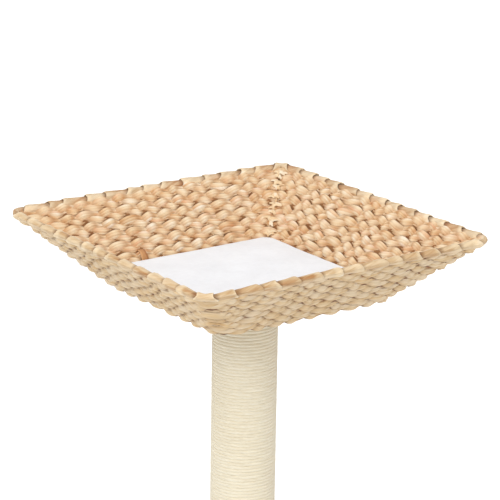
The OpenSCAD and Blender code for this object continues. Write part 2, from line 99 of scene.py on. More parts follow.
class Nodes:
    """Adds shader nodes to one node tree."""

    def __init__(self, tree: bpy.types.NodeTree) -> None:
        """Empties the tree."""
        self.tree = tree
        tree.nodes.clear()

    def feed(self, socket: Socket, value: object) -> None:
        """Links a socket to another, or sets its value.

        Args:
            socket: The socket that is fed.
            value: Another socket, a colour or the socket's plain value.
        """
        if isinstance(value, bpy.types.NodeSocket):
            self.tree.links.new(value, socket)
        elif isinstance(value, tuple) and len(value) == 3 and socket.type == "RGBA":
            socket.default_value = (*value, 1.0)
        else:
            socket.default_value = value

    def node(self, kind: str, inputs: dict | None = None, **settings: object) -> bpy.types.Node:
        """Adds a node.

        Args:
            kind: The node's type after ShaderNode.
            inputs: Values or sockets for its inputs, by name or number.
            settings: The node's own settings.

        Returns:
            The node.
        """
        made = self.tree.nodes.new("ShaderNode" + kind)
        for name, value in settings.items():
            setattr(made, name, value)
        for name, value in (inputs or {}).items():
            self.feed(made.inputs[name], value)
        return made

    def math(self, operation: str, first: object, second: object) -> Socket:
        """Adds a sum, product or other operation on two numbers."""
        return self.node("Math", {0: first, 1: second}, operation=operation).outputs[0]

    def scaled(self, value: Socket, factor: float, offset: float = 0.0) -> Socket:
        """Gives value times factor plus offset."""
        return self.node("Math", {0: value, 1: factor, 2: offset}, operation="MULTIPLY_ADD").outputs[0]

    def varied(self, value: Socket, noise: Socket, share: float) -> Socket:
        """Lets a value rise and fall with a noise, by half a share either way."""
        return self.math("ADD", value, self.scaled(noise, share, -share / 2))

    def mix(self, factor: Socket, first: object, second: object) -> Socket:
        """Mixes two colours."""
        return self.node("Mix", {0: factor, 6: first, 7: second}, data_type="RGBA").outputs[2]

    def ramp(self, factor: Socket, *stops: tuple[float, Triple]) -> Socket:
        """Turns a number into a colour.

        Args:
            factor: The number.
            stops: Pairs of a place from 0 to 1 and the colour there.

        Returns:
            The colour.
        """
        made = self.node("ValToRGB", {0: factor})
        elements = made.color_ramp.elements
        while len(elements) < len(stops):
            elements.new(0.5)
        for element, (place, colour) in zip(elements, stops):
            element.position = place
            element.color = (*colour, 1.0)
        return made.outputs[0]

    def attribute(self, name: str) -> Socket:
        """Reads a vector that the mesh holds at each point."""
        return self.node("Attribute", attribute_name=name).outputs["Vector"]

    def place(self) -> Socket:
        """Gives the point's place in the object."""
        return self.node("TexCoord").outputs["Object"]

    def seen(self) -> Socket:
        """Gives 1 to rays from the camera or from a glossy surface, and 0 to others."""
        path = self.node("LightPath").outputs
        return self.math("MAXIMUM", path["Is Camera Ray"], path["Is Glossy Ray"])

    def noise(
        self, vector: Socket, scale: float, detail: float = 2.0, rough: float = 0.5,
        grid: Triple | None = None,
    ) -> Socket:
        """Gives cloudy noise.

        Args:
            vector: Where it is read.
            scale: Clouds to a unit of vector.
            detail: Octaves of finer noise.
            rough: How much of the finer noise is kept.
            grid: Factors that vector's three parts are multiplied by first.

        Returns:
            A number from 0 to 1.
        """
        if grid is not None:
            vector = self.node("VectorMath", {0: vector, 1: grid}, operation="MULTIPLY").outputs[0]
        inputs = {"Vector": vector, "Scale": scale, "Detail": detail, "Roughness": rough}
        return self.node("TexNoise", inputs).outputs["Fac"]

    def bump(self, height: Socket, depth: float, strength: float, under: Socket | None = None) -> Socket:
        """Turns a height of 0 to 1 into a bent normal.

        Args:
            height: The height.
            depth: The real depth of a height of 1.
            strength: Share of the effect.
            under: The normal of a coarser bump below this one.

        Returns:
            The normal.
        """
        inputs = {"Height": height, "Distance": depth, "Strength": strength}
        if under is not None:
            inputs["Normal"] = under
        return self.node("Bump", inputs).outputs[0]


class ShaderTree(Nodes):
    """The nodes of one procedural material round a principled shader."""

    def __init__(self, name: str) -> None:
        """Makes an unfinished material.

        Args:
            name: The material's name.
        """
        self.material = bpy.data.materials.new(name)
        self.material.use_nodes = True
        super().__init__(self.material.node_tree)
        self.shader = self.node("BsdfPrincipled")
        self.node("OutputMaterial", {"Surface": self.shader.outputs[0]})

    def fibres(self) -> tuple[Socket, Socket, Socket, Socket]:
        """Reads the grain vector of a fibrous mesh and the three parts of its leaf vector."""
        parts = self.node("SeparateXYZ", {0: self.attribute("leaf")}).outputs
        return self.attribute("grain"), parts[0], parts[1], parts[2]

    def finish(self, **inputs: object) -> Material:
        """Sets the principled shader's sockets.

        Args:
            inputs: Their values, by socket name with _ for a space.

        Returns:
            The finished material.
        """
        for name, value in inputs.items():
            self.feed(self.shader.inputs[name.replace("_", " ")], value)
        return self.material


@dataclass(frozen=True)
class LeafFinish:
    """Dried leaf in folded ribbons: cream crowns, lighter by a painted highlight, tan flanks, a rosy blush
    and brown painted shade in the crevices.

    The mesh holds two vectors at each point. grain is the way along the fibres, the way across them and
    a number of the ribbon's own; leaf is the tone, the blush and how much painted shade of the crevices
    the point takes. A blush below 0 turns the leaf khaki instead.
    """

    name: str
    shadow: Triple = paint(170, 116, 72)
    tan: Triple = paint(214, 165, 113)
    honey: Triple = paint(232, 198, 154)
    cream: Triple = paint(241, 218, 182)
    pale: Triple = paint(249, 236, 214)
    blush: Triple = paint(226, 156, 112)
    khaki: Triple = paint(212, 176, 120)
    # the brown of the painted shade in the crevices and where strands dive
    crevice_shade: Triple = paint(110, 62, 24)
    khaki_share: float = 0.4
    fibre_grid: Triple = (30.0, 700.0, 17.0)
    fibre_share: float = 0.34
    fibre_depth: float = 0.35 * MM
    streak_grid: Triple = (14.0, 260.0, 29.0)
    streak_share: float = 0.62
    streak_depth: float = 0.7 * MM
    blotch_grid: Triple = (60.0, 90.0, 41.0)

    def material(self) -> Material:
        """Makes the material.

        Returns:
            The material.
        """
        tree = ShaderTree(self.name)
        grain, tone, blush, crevice_shade = tree.fibres()
        fibre = tree.noise(grain, 1.0, 3.0, 0.6, self.fibre_grid)
        streak = tree.noise(grain, 1.0, grid=self.streak_grid)
        blotch = tree.noise(grain, 1.0, grid=self.blotch_grid)
        level = tree.varied(tree.varied(tone, fibre, self.fibre_share), streak, self.streak_share)
        colour = tree.ramp(
            level, (0.0, self.shadow), (0.28, self.tan), (0.5, self.honey), (0.74, self.cream),
            (1.0, self.pale),
        )
        rosy = tree.math("MULTIPLY", tree.math("MAXIMUM", blush, 0.0), tree.scaled(blotch, 1.2, -0.2))
        colour = tree.mix(rosy, colour, self.blush)
        dull = tree.math("MULTIPLY", tree.math("MINIMUM", blush, 0.0), -self.khaki_share)
        colour = tree.mix(dull, colour, self.khaki)
        streaked = tree.bump(streak, self.streak_depth, 0.6)
        # painted shade: the brown shade colour is mixed in by the mesh's shade share
        return tree.finish(
            Base_Color=tree.mix(crevice_shade, colour, self.crevice_shade), Roughness=tree.scaled(fibre, 0.25, 0.45),
            Normal=tree.bump(fibre, self.fibre_depth, 0.8, streaked), Sheen_Weight=0.03,
            Sheen_Roughness=0.5, Specular_IOR_Level=0.2,
        )


@dataclass(frozen=True)
class SisalFinish:
    """Twisted sisal yarn, matte and fibrous, with painted shade in the grooves between turns."""

    name: str
    low: Triple = paint(219, 205, 178)
    middle: Triple = paint(232, 223, 200)
    high: Triple = paint(241, 235, 219)
    groove_shade: Triple = paint(207, 190, 158)
    fibre_grid: Triple = (160.0, 2600.0, 11.0)
    fibre_share: float = 0.5
    fibre_depth: float = 0.25 * MM
    yarn_grid: Triple = (35.0, 500.0, 23.0)
    yarn_share: float = 0.4
    yarn_depth: float = 0.5 * MM

    def material(self) -> Material:
        """Makes the material.

        Returns:
            The material.
        """
        tree = ShaderTree(self.name)
        grain, tone, _, groove_shade = tree.fibres()
        fibre = tree.noise(grain, 1.0, 3.0, 0.65, self.fibre_grid)
        yarn = tree.noise(grain, 1.0, grid=self.yarn_grid)
        level = tree.varied(tree.varied(tone, fibre, self.fibre_share), yarn, self.yarn_share)
        colour = tree.ramp(level, (0.1, self.low), (0.5, self.middle), (0.9, self.high))
        spun = tree.bump(yarn, self.yarn_depth, 0.5)
        return tree.finish(
            Base_Color=tree.mix(groove_shade, colour, self.groove_shade), Roughness=0.82,
            Normal=tree.bump(fibre, self.fibre_depth, 0.9, spun), Sheen_Weight=0.15,
            Sheen_Roughness=0.6, Specular_IOR_Level=0.2,
        )


@dataclass(frozen=True)
class PlushFinish:
    """Short plush with a brushed pile."""

    name: str
    low: Triple = paint(233, 234, 238)
    high: Triple = paint(247, 249, 253)
    tufts: float = 900.0
    clumps: float = 180.0
    sweeps: float = 26.0
    tuft_depth: float = 0.35 * MM
    clump_depth: float = 0.6 * MM

    def material(self) -> Material:
        """Makes the material.

        Returns:
            The material.
        """
        tree = ShaderTree(self.name)
        place = tree.place()
        tuft = tree.noise(place, self.tufts, 2.0, 0.6)
        clump = tree.noise(place, self.clumps)
        sweep = tree.noise(place, self.sweeps, 3.0, 0.55)
        level = tree.math("ADD", tree.scaled(sweep, 0.7), tree.scaled(clump, 0.3))
        level = tree.math("ADD", level, tree.scaled(tuft, 0.25, -0.1))
        clumped = tree.bump(clump, self.clump_depth, 0.35)
        return tree.finish(
            Base_Color=tree.ramp(level, (0.25, self.low), (0.75, self.high)), Roughness=0.95,
            Normal=tree.bump(tuft, self.tuft_depth, 0.7, clumped), Sheen_Weight=0.35,
            Sheen_Roughness=0.45, Specular_IOR_Level=0.12,
        )


@dataclass(frozen=True)
class GrainFinish:
    """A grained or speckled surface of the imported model: board, wood, card, foam, felt or rubber."""

    name: str
    low: Triple
    high: Triple
    scale: float
    depth: float
    rough: float
    grid: Triple = (1.0, 1.0, 1.0)

    def material(self) -> Material:
        """Makes the material.

        Returns:
            The material.
        """
        tree = ShaderTree(self.name)
        place = tree.place()
        coarse = tree.noise(place, self.scale, 4.0, 0.6, self.grid)
        fine = tree.noise(place, self.scale * 6, 2.0, 0.6)
        level = tree.math("ADD", tree.scaled(coarse, 0.75), tree.scaled(fine, 0.25))
        return tree.finish(
            Base_Color=tree.ramp(level, (0.3, self.low), (0.7, self.high)),
            Roughness=tree.scaled(fine, 0.15, self.rough - 0.07),
            Normal=tree.bump(level, self.depth, 0.6), Specular_IOR_Level=0.3,
        )


@dataclass(frozen=True)
class MetalFinish:
    """Drawn wire or zinc plated steel."""

    name: str
    low: Triple
    high: Triple
    rough: float
    clouds: float = 60.0
    scratches: float = 420.0
    scratch_grid: Triple = (1.0, 1.0, 12.0)
    scratch_depth: float = 0.05 * MM

    def material(self) -> Material:
        """Makes the material.

        Returns:
            The material.
        """
        tree = ShaderTree(self.name)
        place = tree.place()
        cloud = tree.noise(place, self.clouds, 3.0, 0.6)
        scratch = tree.noise(place, self.scratches, 2.0, 0.6, self.scratch_grid)
        return tree.finish(
            Base_Color=tree.ramp(cloud, (0.3, self.low), (0.7, self.high)), Metallic=1.0,
            Roughness=tree.scaled(cloud, 0.2, self.rough - 0.1),
            Normal=tree.bump(scratch, self.scratch_depth, 0.5),
        )


@dataclass
class Wander:
    """Smooth noise along a line, drawn anew at each call."""

    rng: Draws
    way: Array
    length: float
    layers: int = 6
    height: float = 1.8
    layer_sizes: Pair = (0.5, 1.0)

    def __call__(self, fewest: int, most: int) -> Array:
        """Draws one noise.

        Args:
            fewest: The fewest waves of a layer over the whole line.
            most: The most waves of a layer.

        Returns:
            A number of about -1 to 1 at each place.
        """
        counts = self.rng.integers(fewest, most + 1, self.layers)
        starts = self.rng.uniform(0, TURN, self.layers)
        sizes = self.rng.uniform(*self.layer_sizes, self.layers)
        angles = TURN * self.way[:, None] * counts[None, :] / self.length + starts[None, :]
        return (np.sin(angles) * sizes[None, :]).sum(axis=1) / sizes.sum() * self.height


@dataclass(frozen=True)
class Hills:
    """Smooth hills and hollows over a surface, of about one height and width."""

    height: float
    width: float
    seed: int
    layers: int = 9
    spread: Pair = (0.7, 1.8)

    def at(self, points: Array) -> Array:
        """Reads the hills.

        Args:
            points: Where they are read.

        Returns:
            The rise or fall at each point.
        """
        rng = np.random.default_rng(self.seed)
        total = np.zeros(len(points))
        for _ in range(self.layers):
            way = rng.normal(size=3)
            way *= TURN / (self.width * rng.uniform(*self.spread) * np.linalg.norm(way))
            total += np.sin(points @ way + rng.uniform(0, TURN))
        return self.height * (total / (self.layers / 2))


class MeshParts:
    """Collects tubes and their point data, and makes one mesh object of them."""

    def __init__(self) -> None:
        """Starts with nothing."""
        self.points: list[Array] = []
        self.faces: list[list[int]] = []
        self.ends: list[list[int]] = []
        self.data: dict[str, list[Array]] = {"grain": [], "leaf": []}
        self.count = 0

    def tube(
        self, points: Array, grain: Array, leaf: Array, closed: bool = True, turned: bool = False,
    ) -> None:
        """Adds a tube of quads between rings of points.

        Args:
            points: The points of each ring.
            grain: The grain vector of each point, in the same order.
            leaf: The leaf vector of each point, in the same order.
            closed: Whether the last ring joins the first; else a face closes each end.
            turned: Whether the rings run the other way round.
        """
        rings, per = points.shape[:2]
        ring, point = np.meshgrid(np.arange(rings if closed else rings - 1), np.arange(per), indexing="ij")
        after = (point + 1) % per
        corners = ((ring, point), (ring, after), (ring + 1, after), (ring + 1, point))
        faces = np.stack([(r % rings) * per + p for r, p in corners], axis=-1).reshape(-1, 4)
        faces = faces[:, ::-1] if turned else faces
        self.faces.extend((faces + self.count).tolist())
        if not closed:
            last = self.count + (rings - 1) * per
            self.ends.append(list(range(self.count, self.count + per))[::-1])
            self.ends.append(list(range(last, last + per)))
        self.points.append(points.reshape(-1, 3))
        self.data["grain"].append(grain.reshape(-1, 3))
        self.data["leaf"].append(leaf.reshape(-1, 3))
        self.count += rings * per

    def piece(self, name: str, material: Material) -> Piece:
        """Makes the object, in the scene.

        Args:
            name: Its name.
            material: Its finish.

        Returns:
            The piece.
        """
        mesh = bpy.data.meshes.new(name)
        mesh.from_pydata(np.concatenate(self.points).tolist(), [], self.faces + self.ends)
        for key, blocks in self.data.items():
            layer = mesh.attributes.new(key, "FLOAT_VECTOR", "POINT")
            layer.data.foreach_set("vector", np.concatenate(blocks).astype(np.float32).ravel())
        mesh.shade_smooth()
        mesh.materials.append(material)
        return placed(name, mesh)


def placed(name: str, data: bpy.types.ID) -> Piece:
    """Makes an object, in the scene.

    Args:
        name: Its name.
        data: Its mesh, lamp or camera.

    Returns:
        The object.
    """
    made = bpy.data.objects.new(name, data)
    bpy.context.scene.collection.objects.link(made)
    return made


def seat(piece: Piece, body: Body, slot: Slot, *nodes: str) -> Piece:
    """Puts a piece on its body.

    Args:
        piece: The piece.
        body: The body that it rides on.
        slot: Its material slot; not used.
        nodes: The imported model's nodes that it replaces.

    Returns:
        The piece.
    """
    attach(piece, body.value)
    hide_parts(*nodes)
    return piece


def around(count: int) -> Array:
    """Gives that many angles, evenly round a section."""
    return TURN * np.arange(count) / count


@dataclass
class SquareLine:
    """A closed line round the post, square with round corners.

    It starts in the middle of the back right corner and runs anticlockwise, seen from above.
    """

    half: float
    corner: float
    height: float

    @property
    def arc(self) -> float:
        """The length of one corner."""
        return self.corner * math.pi / 2

    @property
    def side(self) -> float:
        """The length of one corner and one straight side."""
        return 2 * (self.half - self.corner) + self.arc

    @property
    def length(self) -> float:
        """The length of the whole line."""
        return 4 * self.side

    def at(self, way: Array) -> tuple[Array, Array, Array, Array]:
        """Gives the line's points.

        Args:
            way: The way along the line.

        Returns:
            The points, the outward directions, the directions along the line, and the distance of each
            point from the nearest corner.
        """
        along = np.mod(way + self.arc / 2, self.length)
        quarter = np.floor(along / self.side)
        rest = along - quarter * self.side
        angle = (quarter + np.clip(rest / self.arc, 0, 1)) * math.pi / 2
        straight = np.maximum(rest - self.arc, 0)
        flat = self.half - self.corner
        turn = (quarter + 0.5) * math.pi / 2
        centre = math.sqrt(2) * flat * np.stack([np.cos(turn), np.sin(turn)], axis=-1)
        out = np.stack([np.cos(angle), np.sin(angle)], axis=-1)
        tangent = np.stack([-np.sin(angle), np.cos(angle)], axis=-1)
        plan = centre + self.corner * out + straight[:, None] * tangent
        points = np.column_stack([plan, np.full(len(way), self.height)])
        level = np.zeros(len(way))
        to_corner = np.where(rest < self.arc, 0, np.minimum(straight, self.side - rest))
        return points, np.column_stack([out, level]), np.column_stack([tangent, level]), to_corner


@dataclass
class WallLine(SquareLine):
    """The middle line of a plaited row, with the wall's slope at each point."""

    slope: float
    corner_reach: float = 24 * MM

    def spread(self, way: Array, across: Array, depth: Array) -> Array:
        """Places points round the line.

        Args:
            way: The way along the line of each ring.
            across: Each point's distance up the wall, ring by ring.
            depth: Each point's distance towards the inside, ring by ring.

        Returns:
            The points. Rows lie further apart at the corners, where across is stretched to match.
        """
        points, out, tangent, to_corner = self.at(way)
        share = np.clip(1 - to_corner / self.corner_reach, 0, 1)
        share = share * share * (3 - 2 * share)
        reach = 1 + (math.sqrt(2) - 1) * share
        up = out * (reach * math.cos(self.slope))[:, None]
        up[:, 2] = math.sin(self.slope)
        inner = np.cross(up, tangent)
        inner /= np.linalg.norm(inner, axis=1, keepdims=True)
        raised = across[:, :, None] * up[:, None, :]
        return points[:, None, :] + raised + depth[:, :, None] * inner[:, None, :]


class Lay(Enum):
    """Which way a wall's plait and rim wraps run, seen along its line."""

    WITH = 1
    AGAINST = -1


LAYS = (Lay.WITH, Lay.AGAINST, Lay.WITH, Lay.AGAINST)
LONG_LOBES = (1, -1, -1, 1)


@dataclass(frozen=True)
class Play:
    """How a measure of a strand swells at a lobe's crown, differs between lobes and wanders along it."""

    least: float
    crown: float
    lobe: float
    wander: float

    def factor(self, crown: Array, lobe: Array, wander: Array) -> Array:
        """Gives the factor on the measure at each ring."""
        return self.least + self.crown * crown + self.lobe * lobe + self.wander * wander


@dataclass
class Plait:
    """One plaited row of the wall: three strands of folded leaf, each a closed loop round a leaf core.

    A lobe is the part of a strand that shows on one face between two dives under its neighbours.
    """

    number: int
    line: WallLine
    lean: float
    seed: int
    # the strands' size and even run
    sway: float = 4.0 * MM
    strand_w: float = 10.5 * MM
    strand_t: float = 6.2 * MM
    strands: int = 3
    period: float = 72 * MM
    drift: float = 1.0 * MM
    skew: float = 0.2 * MM
    weave: float = 1.6 * MM
    flatter: float = 0.05
    lead: float = 0.6
    ring_step: float = 2.2 * MM
    folds: int = 3
    turn_reach: float = 5 * MM
    calm_reach: float = 30 * MM
    blend: float = 0.12
    # how far they stray from that run, with the fewest and the most waves of each noise
    common_span: Pair = (60, 190)
    common_play: float = 0.5
    phase_play: float = 0.22
    phase_waves: Waves = (6, 34)
    strand_play: float = 0.08
    strand_waves: Waves = (8, 40)
    side_play: float = 0.30 * MM
    side_waves: Waves = (10, 40)
    depth_play: float = 0.2 * MM
    depth_waves: Waves = (10, 50)
    dive_play: float = 0.08
    wide_play: Play = Play(0.94, 0.06, 0.08, 0.05)
    thick_play: Play = Play(0.84, 0.26, 0.07, 0.05)
    size_waves: Waves = (12, 60)
    roll_play: float = 0.08
    roll_waves: Waves = (15, 60)
    slide_play: float = 0.22
    lobe_slide: float = 0.12
    slide_waves: Waves = (8, 40)
    # the strand's section, its tone with a painted highlight on the lobes' crowns and painted shade along the
    # creases, and its blush
    body_powers: Pair = (1.45, 0.85)
    edge_fold: float = 0.6
    tone: float = 0.65
    tone_play: float = 0.13
    crown_highlight: float = 0.22
    crease_shade: float = 0.10
    blush: float = 0.12
    blush_from: float = 0.25
    blush_play: float = 0.9
    blush_flank: float = 0.35
    # the painted shade where a strand dives, on the row's inner and outer face
    hidden_gap: float = 0.30
    hidden_power: float = 1.2
    sunk_gap: float = 0.8
    inner_level: float = 1.3 * MM
    inner_fade: float = 1.4 * MM
    outer_level: float = 2.7 * MM
    outer_fade: float = 0.8 * MM
    outer_gap: float = 1.05
    outer_play: float = 0.5
    # the outer face's paler, duller leaf
    outside_depth: float = 2.5 * MM
    outside_tone: float = 0.19
    outside_khaki: float = 1.1
    # the core, painted mostly in the brown shade colour of the crevices so that the spaces between rows look
    # shaded, the loose ends and the ties
    core_w: float = 16.4 * MM
    core_t: float = 3.2 * MM
    core_tone_and_shade: Triple = (0.2, 0.3, 0.68)
    core_points: int = 10
    ends: int = 6
    end_rings: int = 9
    end_points: int = 8
    end_w: float = 4.6 * MM
    end_t: float = 1.3 * MM
    end_starts_mm: tuple[Pair, Pair, Pair] = ((-3, 1), (-5, 5), (3.0, 4.2))
    end_reaches_mm: tuple[Pair, Pair, Pair] = ((6, 12), (-4.5, 4.5), (-0.5, 1.8))
    end_arch_mm: Pair = (0.8, 2.4)
    end_play: Pair = (0.7, 1.2)
    end_taper: float = 0.75
    end_thinning: float = 0.4
    end_ripple: float = 0.15
    end_curl: float = 0.9
    end_tone: Pair = (0.5, 0.9)
    seed_span: Pair = (0, 20)
    tie_w: float = 8.5 * MM
    tie_t: float = 0.7 * MM
    tie_reach: Pair = (8.6 * MM, 5.4 * MM)
    tie_points: int = 24
    tie_places: tuple[float, ...] = (-0.5, -0.46, -0.2, 0.15, 0.46, 0.5, 0.4, 0.0, -0.4)
    tie_heights: tuple[float, ...] = (0.2, 0.8, 1.0, 0.9, 0.8, 0.2, -0.1, -0.1, -0.1)
    tie_wave: float = 0.4 * MM
    tie_pucker: float = 0.25 * MM
    tie_tone: Pair = (0.10, 0.18)
    tie_fade: float = 0.30
    tie_blush: float = 0.55
    tie_gap: float = 0.12

    def __post_init__(self) -> None:
        """Lays out the row's rings and starts its mesh and its own random numbers."""
        line = self.line
        rings = int(line.length / self.ring_step)
        self.way = np.arange(rings) * line.length / rings
        self.wall = np.floor(self.way / line.side).astype(int) % 4
        self.from_middle = self.way - (self.wall + 0.5) * line.side
        self.to_corner = line.side / 2 - np.abs(self.from_middle)
        self.rng = np.random.default_rng(self.seed + self.number)
        self.wander = Wander(self.rng, self.way, line.length)
        self.parts = MeshParts()

    def by_wall(self, values: Sequence[int]) -> Array:
        """Gives each wall's value, passing smoothly through 0 at the corners."""
        return np.array(values)[self.wall] * np.tanh(self.to_corner / self.turn_reach)

    def phase(self) -> Array:
        """Works out the plait's phase, which turns back at each corner.

        Returns:
            The phase in radians at each ring.
        """
        walls_and_waves = (4, 5)
        shared = np.random.default_rng(self.seed)
        rate = self.by_wall([lay.value for lay in LAYS])
        steps = np.concatenate([[0], np.cumsum((rate[1:] + rate[:-1]) / 2)]) * (self.way[1] - self.way[0])
        steps -= np.interp(self.line.side / 2, self.way, steps)
        starts = shared.uniform(0, TURN, walls_and_waves)[self.wall]
        lengths = shared.uniform(*self.common_span, walls_and_waves)[self.wall] * MM
        common = np.sin(TURN * self.from_middle[:, None] / lengths + starts).mean(axis=1)
        calm = np.clip(self.to_corner / self.calm_reach, 0, 1)
        shift = TURN / self.period * (steps - self.drift * (self.number - 1))
        return shift + self.common_play * common * calm + self.phase_play * self.wander(*self.phase_waves)

    def leant(self, across: Array, depth: Array) -> tuple[Array, Array]:
        """Turns places in the row's section: its upper edge comes inwards, its lower one outwards."""
        turn, rise = math.cos(self.lean), math.sin(self.lean)
        return across * turn - depth * rise, depth * turn + across * rise

    def section(self) -> tuple[Array, Array, Array, Array]:
        """Lays out a strand's cross-section.

        Returns:
            For each of its points: the place across from -1 to 1, the face, the height of the folds and
            how far it lies in a crease.
        """
        in_fold = np.array([0.0, 0.22, 0.55, 0.85])
        fold_rise = np.array([-0.20, 0.05, 0.11, 0.05])
        fold_mark = np.array([1.0, 0.25, 0.0, 0.2])
        one_way = np.concatenate([-1 + 2 * (fold + in_fold) / self.folds for fold in range(self.folds)])
        places = np.concatenate([one_way, -one_way])
        faces = np.repeat([1.0, -1.0], len(one_way))
        return places, faces, np.tile(fold_rise, 2 * self.folds), np.tile(fold_mark, 2 * self.folds)

    def lots(self, angle: Array, columns: int) -> Array:
        """Draws random values for each lobe of a strand.

        Args:
            angle: The strand's phase at each ring.
            columns: How many values each lobe has.

        Returns:
            Values of -1 to 1, ring by ring, that change only where the strand is hidden.
        """
        quarter = angle / (math.pi / 2)
        index = np.floor(quarter).astype(int)
        index -= index.min() - 1
        values = self.rng.uniform(-1, 1, (index.max() + 3, columns))
        part = quarter - np.floor(quarter)
        up = np.clip((part - (1 - self.blend)) / (2 * self.blend), 0, 1)[:, None]
        down = np.clip((self.blend - part) / (2 * self.blend), 0, 1)[:, None]
        return values[index] * (1 - up - down) + values[index + 1] * up + values[index - 1] * down

    def strand(self, angle: Array) -> None:
        """Adds one strand.

        Args:
            angle: The strand's phase at each ring.
        """
        wander = self.wander
        places, faces, rises, creases = self.section()
        long_lobes = self.by_wall(LONG_LOBES)
        lead = self.lead * long_lobes
        crown = np.sin(2 * angle + lead)[:, None] ** 2
        lobe = angle + lead / 2
        wide, thick, slid, dived = self.lots(lobe, 4).T[:, :, None]
        calm = 1 - self.flatter * np.clip(-long_lobes, 0, 1)
        across = calm * self.sway * np.sin(angle) - self.skew * np.cos(2 * angle)
        across = across + self.side_play * wander(*self.side_waves)
        dive = -calm * self.weave * (1 + self.dive_play * dived[:, 0]) * np.sin(2 * angle + lead)
        dive = (dive + self.depth_play * wander(*self.depth_waves))[:, None]
        half_w = self.strand_w / 2 * self.wide_play.factor(crown, wide, wander(*self.size_waves)[:, None])
        half_t = self.strand_t / 2 * self.thick_play.factor(crown, thick, wander(*self.size_waves)[:, None])
        roll = self.roll_play * wander(*self.roll_waves)[:, None]
        slide = self.slide_play * wander(*self.slide_waves)[:, None] + self.lobe_slide * slid
        place = places[None, :] + slide * (1 - places[None, :] ** 2)
        edge_power, face_power = self.body_powers
        body = np.maximum(1 - np.abs(place) ** edge_power, 0.0) ** face_power
        fold = rises[None, :] * (1 - self.edge_fold * np.abs(place))
        x = place * half_w
        y = faces[None, :] * (body + fold) * half_t
        level = dive - x * np.sin(roll) + y * np.cos(roll)
        across, depth = self.leant(across[:, None] + x * np.cos(roll) + y * np.sin(roll), level)
        ribbons = 2 * self.folds
        per = len(places) // ribbons
        own = np.repeat(self.lots(lobe, ribbons), per, axis=1)
        # painted highlight: the tone rises at each lobe's crown
        tone = self.tone + self.tone_play * wide + self.tone_play * own + self.crown_highlight * (crown - 0.5)
        # painted shade: the tone falls along the fold creases
        tone = tone - self.crease_shade * creases[None, :]
        outside = np.clip(-depth / self.outside_depth, 0, 1)
        hidden = np.clip(1 - np.abs(dive) / self.weave, 0, 1) ** self.hidden_power
        inner_sunk = np.clip((self.inner_level - level) / self.inner_fade, 0, 1)
        outer_sunk = np.clip((self.outer_level + level) / self.outer_fade, 0, 1)
        outer_sunk = outer_sunk * (self.outer_gap + self.outer_play * slid)
        sunk = np.where(faces[None, :] > 0, inner_sunk, outer_sunk)
        reds = np.repeat(np.clip(self.lots(lobe, ribbons) - self.blush_from, 0, 1), per, axis=1)
        rosy = np.clip(self.blush + self.blush_play * reds + self.blush_flank * (1 - crown), 0, 1)
        rosy = rosy * (1 - outside)
        # painted shade: darker where a strand dives under its neighbours and in the sunk parts between lobes
        gap_shade = np.maximum(self.hidden_gap * hidden, self.sunk_gap * sunk)
        leaf = np.stack([
            tone + self.outside_tone * outside, rosy - self.outside_khaki * outside, gap_shade,
        ], axis=-1)
        girth = np.cumsum(np.hypot(np.diff(x[0], prepend=x[0, -1]), np.diff(y[0], prepend=y[0, -1])))
        seeds = np.repeat(self.rng.uniform(*self.seed_span, ribbons), per)
        grain = np.stack([
            self.way[:, None] + 0 * x, girth[None, :] - 0.5 * x, seeds[None, :] + 0 * x,
        ], axis=-1)
        self.parts.tube(self.line.spread(self.way, across, depth), grain, leaf)

    def core(self) -> None:
        """Adds the flat inner leaves that the strands close over, painted mostly in the brown shade colour of
        the crevices.
        """
        theta = around(self.core_points)[None, :] + 0 * self.way[:, None]
        across = self.core_w / 2 * np.cos(theta)
        depth = self.core_t / 2 * np.sin(theta)
        grain = np.stack([self.way[:, None] + 0 * across, across, 0 * across], axis=-1)
        # painted shade: the core takes most of the brown shade colour
        leaf = np.array(self.core_tone_and_shade) + 0 * grain
        self.parts.tube(self.line.spread(self.way, across, depth), grain, leaf)

    def loose_end(self, start: Array, reach: Array) -> None:
        """Adds one pale leaf end, a bent ribbon that narrows to its tip.

        Args:
            start: Where it leaves the row: the way along it, the distance up the wall and the depth.
            reach: How far from there its tip lies, given the same way.
        """
        rng = self.rng
        t = np.linspace(0, 1, self.end_rings)[:, None]
        theta = around(self.end_points)[None, :]
        arch = np.array([0, 0, rng.uniform(*self.end_arch_mm) * MM])
        centre = start + reach * t + arch * 4 * t * (1 - t)
        head = reach[:2] / np.linalg.norm(reach[:2])
        side = np.array([-head[1], head[0], 0.0])
        half_w = self.end_w / 2 * rng.uniform(*self.end_play) * (1 - self.end_taper * t ** 3)
        half_w = half_w * (1 + self.end_ripple * np.sin(9 * t))
        half_t = self.end_t / 2 * (1 - self.end_thinning * t)
        curl = rng.uniform(-self.end_curl, self.end_curl) * t
        x, y = half_w * np.cos(theta), half_t * np.sin(theta)
        aside = (x * np.cos(curl) - y * np.sin(curl))[:, :, None] * side
        lifted = (x * np.sin(curl) + y * np.cos(curl))[:, :, None] * UPRIGHT
        spot = (centre[:, None, :] + aside + lifted).reshape(-1, 3)
        points = self.line.spread(np.mod(spot[:, 0], self.line.length), spot[:, 1:2], spot[:, 2:3])
        grain = np.stack([
            t * np.linalg.norm(reach) + 0 * x, x, 0 * x + rng.uniform(*self.seed_span),
        ], axis=-1)
        leaf = np.stack([rng.uniform(*self.end_tone) + 0 * x, 0 * x, 0 * x], axis=-1)
        self.parts.tube(points.reshape(*x.shape, 3), grain, leaf, closed=False)

    def join(self) -> None:
        """Adds the loose ends at the back corner, where the row's strands begin and finish."""
        for turn in range(self.ends):
            side = np.array([(1, -1)[turn % 2], 1, 1])
            start, reach = (
                side * [self.rng.uniform(*span) for span in spans] * MM
                for spans in (self.end_starts_mm, self.end_reaches_mm)
            )
            self.loose_end(start, reach)

